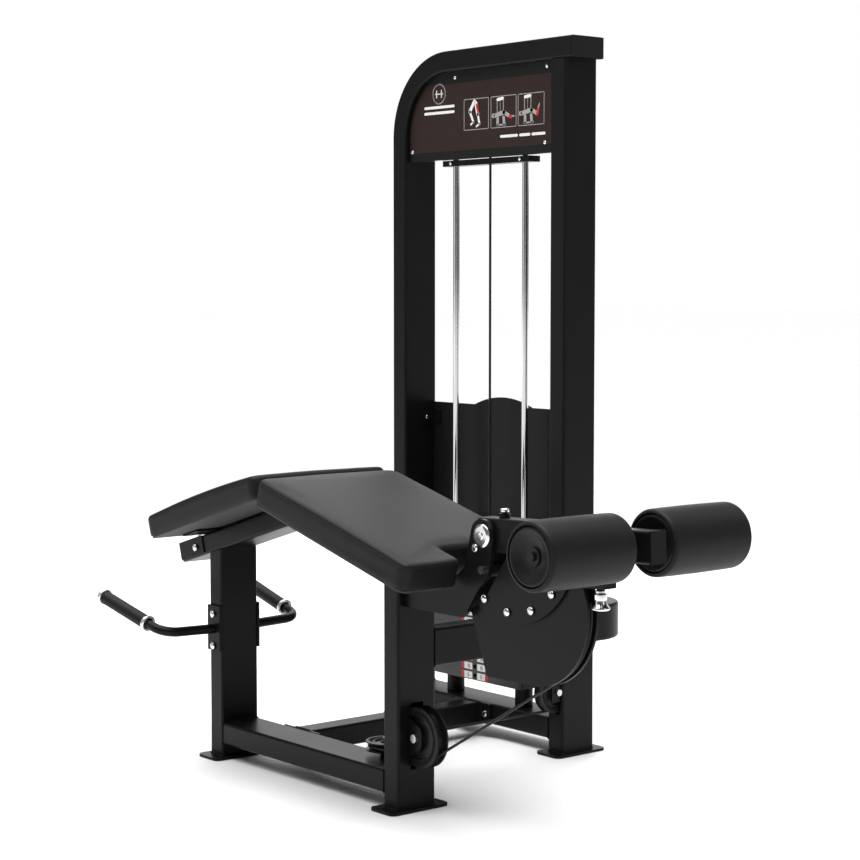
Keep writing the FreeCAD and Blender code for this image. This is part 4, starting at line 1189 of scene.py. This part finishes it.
def islands(source: bpy.types.Object) -> list[np.ndarray]:
    """The points of each separate solid in a CAD node's mesh.

    Args:
        source: the node.

    Returns:
        One array of points for each solid.
    """
    shape = bmesh.new()
    shape.from_mesh(source.data)
    bmesh.ops.remove_doubles(shape, verts=shape.verts, dist=1e-6)
    shape.verts.ensure_lookup_table()
    seen: set[int] = set()
    found = []
    for seed in shape.verts:
        if seed.index in seen:
            continue
        stack, members = [seed], []
        seen.add(seed.index)
        while stack:
            vertex = stack.pop()
            members.append(tuple(vertex.co))
            for edge in vertex.link_edges:
                other = edge.other_vert(vertex)
                if other.index not in seen:
                    seen.add(other.index)
                    stack.append(other)
        found.append(np.array(members))
    shape.free()
    return found


def cylinder_of(points: np.ndarray) -> tuple[Vector, Vector, float, float]:
    """The cylinder that a solid fills.

    Args:
        points: the solid's vertices.

    Returns:
        Its middle, its axis, its radius and its length.
    """
    centred = points - points.mean(axis=0)
    values, vectors = np.linalg.eigh(centred.T @ centred)
    gaps = (values[1] - values[0], values[2] - values[1])
    axis = vectors[:, 0] if gaps[0] > gaps[1] else vectors[:, 2]
    along = centred @ axis
    across = np.linalg.norm(centred - np.outer(along, axis), axis=1)
    middle = points.mean(axis=0) + axis * (along.max() + along.min()) / 2
    return Vector(middle), Vector(axis), float(across.max()), float(along.max() - along.min())


# --------------------------------------------------------------------------------------------
# Bench frame
# --------------------------------------------------------------------------------------------
@dataclass
class Bench:
    """The bench: legs, rails, pad beams, cushions and hand grips."""

    leg_gap: float = 0.646
    half_thin: float = 0.025
    half_broad: float = 0.05
    rail_low: float = 0.034
    rail_high: float = 0.084
    foot: float = 0.006
    bead: float = 0.0026
    link_span: tuple[float, float] = (-0.482, -0.422)
    upper_span: tuple[float, float] = (0.593, 0.643)
    upper_height: tuple[float, float] = (0.296, 0.376)
    grip_long: float = 0.166
    cushions: list[Cushion] = field(default_factory=lambda: [
        Cushion("chest_pad_cover", (-0.745, 0, 0.5606), math.radians(-16.4), 0.464, 0.375, 0.055,
                crown=0.007, meet=-0.2947),
        Cushion("thigh_pad_cover", (-0.288, 0, 0.6859), math.radians(14.87), 0.532, 0.385, 0.064,
                notch_depth=0.073, notch_width=0.084, crown=0.001, meet=-0.2933)])

    def build(self, paint: Paint) -> None:
        """Dresses the frame, then builds welds, cushions and grips."""
        for name in ("chest_leg", "knee_leg", "bench_rail", "link_rail", "chest_pad_beam",
                     "thigh_pad_beam", "upper_link_tube"):
            paint.node(name, Finish.FRAME)
        for name in ("foot_plates", "pad_cross_plates", "pulley_brackets"):
            paint.node(name, Finish.FRAME, 0.001)
        paint.node("handle_tubes", Finish.FRAME, 0.001)
        paint.node("pad_boards", Finish.UNDERSIDE, 0.0015)
        paint.node("rubber_stops", Finish.RUBBER, 0.0015)
        paint.node("pulley_axles", Finish.STEEL, 0.001)
        self._welds(paint)
        self._grips(paint)
        for cushion in self.cushions:
            cushion.build(paint)

    def _welds(self, paint: Paint) -> None:
        """Weld beads round the tube ends that meet a leg, a rail or a foot plate."""
        thin, broad = self.half_thin, self.half_broad
        beads = []
        low, high = self.rail_low, self.rail_high
        for index, x in enumerate((-thin, -self.leg_gap + thin)):
            beads.append(self._bead(f"rail_bead{index}", "x", x, (-broad, broad), (low, high)))
        for index, x in enumerate((0.0, -self.leg_gap)):
            beads.append(self._bead(f"foot_bead{index}", "z", self.foot, (x - thin, x + thin),
                                    (-broad, broad)))
        tower = Tower()
        for index, x in enumerate((tower.left + thin, tower.right - thin)):
            beads.append(self._bead(f"tower_foot_bead{index}", "z", self.foot, (x - thin, x + thin),
                                    (tower.front, tower.front + 2 * broad)))
        for index, x in enumerate((tower.left + 2 * thin, tower.right - 2 * thin)):
            beads.append(self._bead(f"base_bead{index}", "x", x,
                                    (tower.front, tower.front + 2 * broad), (low, high)))
        for index, y in enumerate((broad + 0.006, tower.front - 0.006)):
            beads.append(self._bead(f"link_bead{index}", "y", y, self.link_span, (low, high)))
        beads.append(self._bead("upper_link_bead0", "y", broad, (-thin, thin), self.upper_height))
        beads.append(self._bead("upper_link_bead1", "x", tower.right, self.upper_span,
                                self.upper_height))
        whole = joined("weld_beads", beads)
        paint.fix(whole, Finish.FRAME, "frame")

    def _bead(self, name: str, axis: str, level: float, first: tuple[float, float],
              second: tuple[float, float]) -> bpy.types.Object:
        """A rippled bead round one rectangular tube end.

        Args:
            name: the bead's name.
            axis: the axis that the tube runs along.
            level: where the joint lies on that axis.
            first: the tube's span on the first of the other two axes.
            second: its span on the second.

        Returns:
            The bead.
        """
        corner, step = 0.005, 0.0016
        corners = [(first[0], second[0], corner), (first[1], second[0], corner),
                   (first[1], second[1], corner), (first[0], second[1], corner)]
        loop = denser(rounded_loop(corners, 5), step)
        order = {"x": lambda a, b: (level, a, b), "y": lambda a, b: (a, level, b),
                 "z": lambda a, b: (a, b, level)}[axis]
        path = [order(a, b) for a, b in loop]
        return swept(name, path, self._ripple, 8, True)

    def _ripple(self, travelled: float) -> float:
        """The bead's radius, which rises and falls with each puddle of weld."""
        return self.bead * (0.86 + 0.14 * math.cos(2 * math.pi * travelled / 0.0046))

    @staticmethod
    def _handle(side: int, along: float) -> tuple[Vector, Vector]:
        """A place along one handle, measured from its bend, and the handle's direction."""
        way = Vector((-184, side * 10, 45)).normalized()
        return Vector((-0.651, side * 0.188, 0.303)) + way * along, way

    def _grips(self, paint: Paint) -> None:
        """Moulded hand grips with fine finger rings, in place of the plain CAD sleeves."""
        grips = []
        for index, side in enumerate((-1, 1)):
            base, way = self._handle(side, 0.07)
            profile: list[tuple[float, float]] = [(0.0112, 0.0), (0.0145, 0.0)]
            rings, margin = 44, 0.004
            for ring in range(rings):
                at = margin + ring * (0.158 / (rings - 1))
                profile += [(0.0158, at - 0.0012), (0.0158, at + 0.0006), (0.0152, at + 0.0012)]
            profile += [(0.0145, self.grip_long), (0.0112, self.grip_long), (0.0112, 0.0)]
            grips.append(turned(f"grip{index}", profile, base, way, 48))
        self._collars(paint)
        whole = joined("finger_grips", grips)
        paint.fix(whole, Finish.RUBBER, "frame", "hand_grips")

    def _collars(self, paint: Paint) -> None:
        """Turned collars: a flanged ring at each grip's inner end and a closed cap at its tip."""
        pieces = []
        for index, side in enumerate((-1, 1)):
            base, way = self._handle(side, 0.058)
            ring = ring_profile([(0.0112, 0.0), (0.0165, 0.0), (0.019, 0.0022), (0.019, 0.0058),
                                 (0.017, 0.0075), (0.017, 0.0115), (0.0112, 0.0118), (0.0112, 0.0)],
                                0.0008)
            pieces.append(turned(f"inner_collar{index}", ring, base, way, 64))
            cap = ring_profile([(0.0112, 0.178), (0.017, 0.1783), (0.019, 0.1805), (0.019, 0.1872),
                                (0.0172, 0.1898), (0.012, 0.1906), (0.0105, 0.1896), (0.0, 0.1894)],
                               0.0008)
            pieces.append(turned(f"tip_collar{index}", cap, base, way, 64))
        whole = joined("bright_collars", pieces)
        paint.fix(whole, Finish.ALUMINIUM, "frame", "grip_collars")


# --------------------------------------------------------------------------------------------
# Tower
# --------------------------------------------------------------------------------------------
@dataclass
class Tower:
    """The weight-stack tower: tubes, rods, plates, covers and the printed sign."""

    left: float = -0.7655
    right: float = -0.1385
    front: float = 0.568
    middle: float = -0.452
    stack_low: float = 0.132
    pitch: float = 0.022
    plates: int = 15
    resting: int = 10
    plate_front: float = 0.571
    label_white: tuple[float, float] = (0.009, 0.038)
    label_red: tuple[float, float] = (0.0385, 0.048)
    label_thick: float = 0.0003

    def build(self, paint: Paint) -> None:
        """Dresses the tower and builds its labels and its sign."""
        for name in ("tower_tube", "right_upright", "tower_base_rail"):
            paint.node(name, Finish.FRAME)
        for name in ("cover_brackets", "rod_top_bar"):
            paint.node(name, Finish.FRAME, 0.001)
        paint.node("rear_cover", Finish.SHEET, 0.0005)
        paint.node("sign_panel", Finish.SHEET, 0.0005)
        paint.node("tower_end_cap", Finish.CAP, 0.0015)
        paint.node("guide_rods", Finish.CHROME, 0.001)
        paint.node("resting_plates", Finish.IRON, 0.0014)
        paint.node("lifted_plates", Finish.IRON, 0.0014)
        paint.node("stack_stem", Finish.STEEL, 0.001)
        self._selector(paint)
        for body, first, last in (("frame", 0, self.resting), ("stack", self.resting, self.plates)):
            self._labels(paint, body, first, last)
        Sign().build(paint)

    def _selector(self, paint: Paint) -> None:
        """The selector pin with its ribbed knob."""
        level = self.stack_low + (self.resting + 0.5) * self.pitch
        profile = [(0.0, -0.034), (0.0105, -0.034), (0.0135, -0.0315)]
        for rib in range(5):
            at = -0.029 + rib * 0.0045
            profile += [(0.0139, at), (0.0139, at + 0.0022), (0.0128, at + 0.0033)]
        profile += [(0.0105, -0.0045), (0.0045, -0.004), (0.0045, 0.052), (0.0, 0.054)]
        pin = turned("stack_selector", profile, (self.middle, self.plate_front, level),
                     (0, 1, 0), 48)
        paint.fix(pin, Finish.BOLT, "selector", "selector_pin")

    def _labels(self, paint: Paint, body: str, first: int, last: int) -> None:
        """White weight labels with red edge strips and dark figures, on one body's plates.

        Args:
            paint: the finishes.
            body: the body that these plates ride on.
            first: number of the lowest plate.
            last: number past the highest plate.
        """
        whites, reds, darks = [], [], []
        for index in range(first, last):
            low = self.stack_low + index * self.pitch + 0.0028
            high = low + self.pitch - 0.0058
            for side in (-1, 1):
                for kept, near, far in ((whites, *self.label_white), (reds, *self.label_red)):
                    start, end = sorted((side * near, side * far))
                    kept.append(self._patch(f"label{index}_{side}_{near}", start, end, low, high,
                                            self.label_thick))
            darks += self._figure(index, low, high)
        for label, pieces, finish in (("white", whites, Finish.WHITE_INK),
                                      ("red", reds, Finish.RED_INK),
                                      ("figure", darks, Finish.DARK_INK)):
            whole = joined(f"{body}_{label}_labels", pieces)
            paint.fix(whole, finish, body)

    def _patch(self, name: str, x0: float, x1: float, low: float, high: float, out: float
               ) -> bpy.types.Object:
        """A thin upright patch on the plates' front faces."""
        place = Matrix.Translation((self.middle, self.plate_front - out, 0))
        upright = place @ Matrix.Rotation(math.pi / 2, 4, "X")
        outline = [(x0, low), (x1, low), (x1, high), (x0, high)]
        return slab(name, outline, upright @ Matrix.Translation((0, 0, -out)), out)

    def _figure(self, index: int, low: float, high: float) -> list[bpy.types.Object]:
        """The plate's weight in seven-stroke figures, on both halves of its label."""
        strokes = {"0": "abcdef", "1": "bc", "2": "abged", "3": "abgcd", "4": "fgbc", "5": "afgcd",
                   "6": "afgecd", "7": "abc", "8": "abcdefg", "9": "abcfgd"}
        tall, wide, bold = (high - low) * 0.56, 0.0045, 0.0012
        base = low + (high - low) * 0.22
        spots = {"a": (0, tall - bold, wide, tall),
                 "g": (0, (tall - bold) / 2, wide, (tall + bold) / 2),
                 "d": (0, 0, wide, bold), "f": (0, tall / 2, bold, tall),
                 "e": (0, 0, bold, tall / 2),
                 "b": (wide - bold, tall / 2, wide, tall), "c": (wide - bold, 0, wide, tall / 2)}
        pieces = []
        for side, centre in enumerate((-0.0235, 0.0235)):
            text = str((index + 1) * 5)
            start = centre - (len(text) * (wide + 0.002) - 0.002) / 2
            for place, letter in enumerate(text):
                x = start + place * (wide + 0.002)
                for stroke in strokes[letter]:
                    x0, z0, x1, z1 = spots[stroke]
                    pieces.append(self._patch(f"fig{index}_{side}_{place}{stroke}", x + x0, x + x1,
                                              base + z0, base + z1, 0.0005))
        return pieces


@dataclass
class Sign:
    """The printed film on the sign panel: a brown field, a plain mark and three how-to pictures."""

    front: float = 0.583
    low: float = 1.4125
    high: float = 1.574
    left: float = -0.7135
    right: float = -0.1905
    bend: tuple[float, float] = (-0.5655, 1.4525)
    bend_radius: float = 0.148
    frame_width: float = 0.0016
    pictures: tuple[float, float, float] = (-0.508, -0.41, -0.314)
    picture_wide: float = 0.089
    film: float = 0.0002
    ink: float = 0.00015

    def build(self, paint: Paint) -> None:
        """Builds each ink as one piece."""
        film = slab("sign_film", self._field(), self._plane(self.film), self.film)
        paint.fix(film, Finish.SIGN, "frame")
        white = self._mark() + self._bars() + self._limb_picture()
        grey_parts = []
        red = self._limb_highlight()
        for index, x in enumerate(self.pictures):
            grey_parts += self._border(index, x, x + self.picture_wide)
        for index, x in enumerate(self.pictures[1:]):
            pale, body, hot = self._machine_picture(index, x, bent=index == 1)
            white += pale
            grey_parts += body
            red += hot
        for label, parts, finish in (("white", white, Finish.WHITE_INK),
                                     ("grey", grey_parts, Finish.GREY_INK),
                                     ("red", red, Finish.RED_INK)):
            paint.fix(joined(f"sign_{label}_print", parts), finish, "frame")

    def _plane(self, out: float) -> Matrix:
        """The sign's own plane, a little in front of the panel."""
        upright = Matrix.Translation((0, self.front, 0)) @ Matrix.Rotation(math.pi / 2, 4, "X")
        return upright @ Matrix.Translation((0, 0, out - self.film))

    def _field(self) -> Loop:
        """The brown field, which follows the tube's bend at its upper left."""
        points = [(self.left, self.low), (self.right, self.low), (self.right, self.high)]
        cx, cz = self.bend
        top = math.asin((self.high - cz) / self.bend_radius)
        for step in range(13):
            angle = math.pi - top * (1 - step / 12)
            points.append((cx + self.bend_radius * math.cos(angle),
                           cz + self.bend_radius * math.sin(angle)))
        return points

    def _shape(self, name: str, outline: Loop, layer: int = 1) -> bpy.types.Object:
        """A printed shape on the film."""
        return slab(name, outline, self._plane(self.film + self.ink * layer), self.ink)

    def _stroke(self, name: str, a: tuple[float, float], b: tuple[float, float], wide: float,
                layer: int = 1) -> bpy.types.Object:
        """A printed bar with round ends between two points."""
        angle = math.atan2(b[1] - a[1], b[0] - a[0])
        points = []
        for centre, start in ((a, angle + math.pi / 2), (b, angle - math.pi / 2)):
            for step in range(7):
                turn = start + math.pi * step / 6
                points.append((centre[0] + wide / 2 * math.cos(turn),
                               centre[1] + wide / 2 * math.sin(turn)))
        return self._shape(name, points, layer)

    @staticmethod
    def _circle(centre: tuple[float, float], radius: float, steps: int) -> Loop:
        """Points evenly round a circle."""
        return [(centre[0] + radius * math.cos(math.tau * step / steps),
                 centre[1] + radius * math.sin(math.tau * step / steps)) for step in range(steps)]

    def _mark(self) -> list[bpy.types.Object]:
        """A plain weight-bar mark in a ring, above two plain bars."""
        cx, cz = -0.602, 1.5525
        ring = self._circle((cx, cz), 0.0235, 48)
        pieces = [self._stroke(f"ring{step}", start, end, 0.0028)
                  for step, (start, end) in enumerate(zip(ring, ring[1:] + ring[:1]))]
        pieces.append(self._stroke("bar", (cx - 0.014, cz), (cx + 0.014, cz), 0.0026))
        for side in (-1, 1):
            pieces.append(self._stroke(f"disc{side}", (cx + side * 0.009, cz - 0.008),
                                       (cx + side * 0.009, cz + 0.008), 0.0034))
        pieces.append(self._stroke("line_a", (-0.655, 1.5205), (-0.547, 1.5205), 0.0065))
        pieces.append(self._stroke("line_b", (-0.655, 1.507), (-0.547, 1.507), 0.0065))
        return pieces

    def _bars(self) -> list[bpy.types.Object]:
        """Plain bars in place of a title."""
        spans = ((-0.374, -0.318), (-0.307, -0.275), (-0.264, -0.223))
        return [self._stroke(f"title{index}", (x0, 1.438), (x1, 1.438), 0.0065)
                for index, (x0, x1) in enumerate(spans)]

    def _border(self, index: int, x0: float, x1: float) -> list[bpy.types.Object]:
        """A thin frame round one picture."""
        low, high = 1.4595, 1.5325
        corners = [(x0, low), (x1, low), (x1, high), (x0, high)]
        return [self._stroke(f"border{index}_{side}", corners[side], corners[(side + 1) % 4],
                             self.frame_width) for side in range(4)]

    def _limb_picture(self) -> list[bpy.types.Object]:
        """A pair of striding legs in plain strokes."""
        joints = {"hip": (-0.470, 1.527), "knee": (-0.487, 1.503), "ankle": (-0.474, 1.478),
                  "toe": (-0.483, 1.472), "hip2": (-0.465, 1.522), "knee2": (-0.458, 1.496),
                  "ankle2": (-0.4515, 1.472), "toe2": (-0.463, 1.4665)}
        runs = (("hip", "knee", 0.009), ("knee", "ankle", 0.0065), ("ankle", "toe", 0.0045),
                ("hip2", "knee2", 0.010), ("knee2", "ankle2", 0.0065), ("ankle2", "toe2", 0.0045))
        return [self._stroke(f"limb{index}", joints[a], joints[b], wide)
                for index, (a, b, wide) in enumerate(runs)]

    def _limb_highlight(self) -> list[bpy.types.Object]:
        """The worked muscle at the back of the thigh, in red."""
        return [self._stroke("muscle", (-0.4625, 1.518), (-0.4565, 1.500), 0.0065, 2)]

    def _machine_picture(self, index: int, x: float, bent: bool) -> tuple[list, list, list]:
        """A plain picture of the exercise.

        Args:
            index: the picture's number.
            x: the picture's left edge.
            bent: whether the lower leg is up.

        Returns:
            The white, grey and red shapes.
        """
        name = f"machine{index}"
        pale = [self._stroke(f"{name}_top", (x + 0.024, 1.525), (x + 0.042, 1.527), 0.0075, 2)]
        bars = {"post_a": (0.022, 1.522, 0.022, 1.497, 0.0022),
                "post_b": (0.044, 1.524, 0.044, 1.497, 0.0022),
                "rod": (0.033, 1.522, 0.033, 1.497, 0.0012),
                "trunk": (0.014, 1.488, 0.046, 1.494, 0.0105),
                "thigh": (0.046, 1.494, 0.062, 1.486, 0.0095),
                "base": (0.024, 1.481, 0.024, 1.4665, 0.0085),
                "base_b": (0.045, 1.482, 0.047, 1.4665, 0.0085),
                "floor": (0.02, 1.4655, 0.052, 1.4655, 0.0035)}
        body = [self._stroke(f"{name}_{part}", (x + x0, z0), (x + x1, z1), wide)
                for part, (x0, z0, x1, z1, wide) in bars.items()]
        body.append(self._shape(f"{name}_head", self._circle((x + 0.008, 1.488), 0.0055, 24)))
        knee = (x + 0.064, 1.485)
        foot = (x + 0.073, 1.506) if bent else (x + 0.081, 1.4835)
        body.append(self._stroke(f"{name}_shin", knee, foot, 0.004))
        middle = ((knee[0] + foot[0]) / 2, (knee[1] + foot[1]) / 2 - 0.002)
        hot = [self._stroke(f"{name}_calf", (knee[0] + 0.001, knee[1] - 0.002), middle, 0.0075, 2)]
        return pale, body, hot


# --------------------------------------------------------------------------------------------
# Studio
# --------------------------------------------------------------------------------------------
@dataclass
class Studio:
    """A plain pale floor, soft lights and the camera."""

    eye: Point = (3.3384, -2.7068, 1.0971)
    azimuth: float = math.radians(50.39)
    drop: float = math.radians(4.07)
    lens: float = 87.38
    sky_seen: float = 1.0
    sky_lit: float = 0.14
    sun_power: float = 3.5

    def build(self) -> None:
        """Sets the floor, the sky, the lights and the camera."""
        self._floor()
        self._sky()
        self._sun()
        lamps = (("overhead", (-0.1, 0.1, 3.6), (-0.1, 0.3, 0.6), 3.2, 3.2, 110.0),
                 ("left_front", (-2.6, -2.8, 1.9), (-0.2, 0.2, 0.8), 1.4, 2.6, 12.0),
                 ("right_front", (3.2, 0.6, 1.9), (0.0, 0.2, 0.8), 0.7, 2.6, 8.0),
                 ("back", (0.6, 3.6, 2.4), (0.0, 0.4, 0.8), 2.4, 2.0, 12.0),
                 ("pad_glow", (-2.5, 2.5, 2.5), (0.0, 0.0, 0.62), 1.7, 1.1, 20.0),
                 ("horizon", (-3.8, 3.2, 1.35), (0.0, 0.0, 0.8), 5.2, 2.5, 52.0))
        for name, place, aim, wide, high, power in lamps:
            self._lamp(name, place, aim, wide, high, power)
        self._camera()

    def _floor(self) -> None:
        """A wide pale floor."""
        far, level = 60.0, -0.0004
        corners = [(-far, -far, level), (far, -far, level), (far, far, level), (-far, far, level)]
        floor = make_piece("studio_floor", corners, [(0, 1, 2, 3)])
        shader = Shader("pale_floor")
        mottle = shader.noise(3, 2.0)
        colour = shader.blend(mottle, grey(0.86), grey(0.88))
        floor.data.materials.append(shader.finish(Base_Color=colour, Roughness=0.7))

    def _sky(self) -> None:
        """A white surround that is brighter to look at than it is as a light."""
        world = bpy.data.worlds.new("studio")
        bpy.context.scene.world = world
        world.use_nodes = True
        tree = world.node_tree
        tree.nodes.clear()
        path = tree.nodes.new("ShaderNodeLightPath")
        power = tree.nodes.new("ShaderNodeMath")
        power.operation = "MULTIPLY_ADD"
        power.inputs[1].default_value = self.sky_seen - self.sky_lit
        power.inputs[2].default_value = self.sky_lit
        back = tree.nodes.new("ShaderNodeBackground")
        back.inputs["Color"].default_value = (1, 1, 1, 1)
        end = tree.nodes.new("ShaderNodeOutputWorld")
        tree.links.new(path.outputs["Is Camera Ray"], power.inputs[0])
        tree.links.new(power.outputs[0], back.inputs["Strength"])
        tree.links.new(back.outputs[0], end.inputs["Surface"])
        bpy.context.scene.view_settings.view_transform = "Standard"

    def _sun(self) -> None:
        """A broad light from straight above, which keeps the floor evenly pale."""
        lamp = bpy.data.lights.new("skylight", "SUN")
        lamp.energy = self.sun_power
        lamp.angle = math.radians(70)
        holder = bpy.data.objects.new("skylight", lamp)
        holder.rotation_euler = (math.radians(8), math.radians(-6), 0.0)
        link(holder)

    def _lamp(self, name: str, place: Point, aim: Point, wide: float, high: float, power: float
              ) -> None:
        """One soft rectangular light that faces a point."""
        lamp = bpy.data.lights.new(name, "AREA")
        lamp.shape = "RECTANGLE"
        lamp.size = wide
        lamp.size_y = high
        lamp.energy = power
        holder = bpy.data.objects.new(name, lamp)
        holder.location = place
        holder.rotation_euler = (Vector(aim) - Vector(place)).to_track_quat("-Z", "Y").to_euler()
        holder.visible_camera = False
        link(holder)

    def _camera(self) -> None:
        """The camera, level across and looking a little down."""
        lens = bpy.data.cameras.new("view")
        lens.lens = self.lens
        lens.sensor_width = 36.0
        lens.clip_end = 200.0
        holder = bpy.data.objects.new("view", lens)
        holder.location = self.eye
        holder.rotation_euler = (math.pi / 2 - self.drop, 0.0, self.azimuth)
        link(holder)
        bpy.context.scene.camera = holder


def main() -> None:
    """Loads the frame and builds every sub-assembly in order."""
    logging.basicConfig(level=logging.INFO, format="%(name)s: %(message)s")
    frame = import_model()
    paint = Paint(frame["nodes"])
    Bench().build(paint)
    Lever().build(paint)
    wheels = (
        Pulley("knee_pulley", "pulley_knee", (0, 1, 0), (0.046, 0, 0.157), 0.051, 0.064, 0.030),
        Pulley("turn_pulley", "pulley_turn", (0, 0, 1), (-0.1235, 0.04, 0.106), 0.04, 0.047, 0.02),
        Pulley("foot_pulley", "pulley_foot", (1, 0, 0), (-0.1635, 0.56, 0.15), 0.044, 0.05, 0.02),
        Pulley("corner_pulley", "pulley_corner", (0, 1, 0), (-0.2035, 0.618, 1.585), 0.04, 0.046,
               0.02),
        Pulley("stack_pulley", "pulley_stack", (0, 1, 0), (-0.412, 0.618, 1.585), 0.04, 0.046,
               0.02))
    for wheel in wheels:
        wheel.build(paint)
    Cable().build(paint)
    for group in (Fasteners("frame_bolts", "frame"), Fasteners("cam_bolts", "lever"),
                  Fasteners("panel_screws", "frame", Head.PAN)):
        group.build(paint)
    Tower().build(paint)
    Studio().build()


if __name__ == "__main__":
    main()
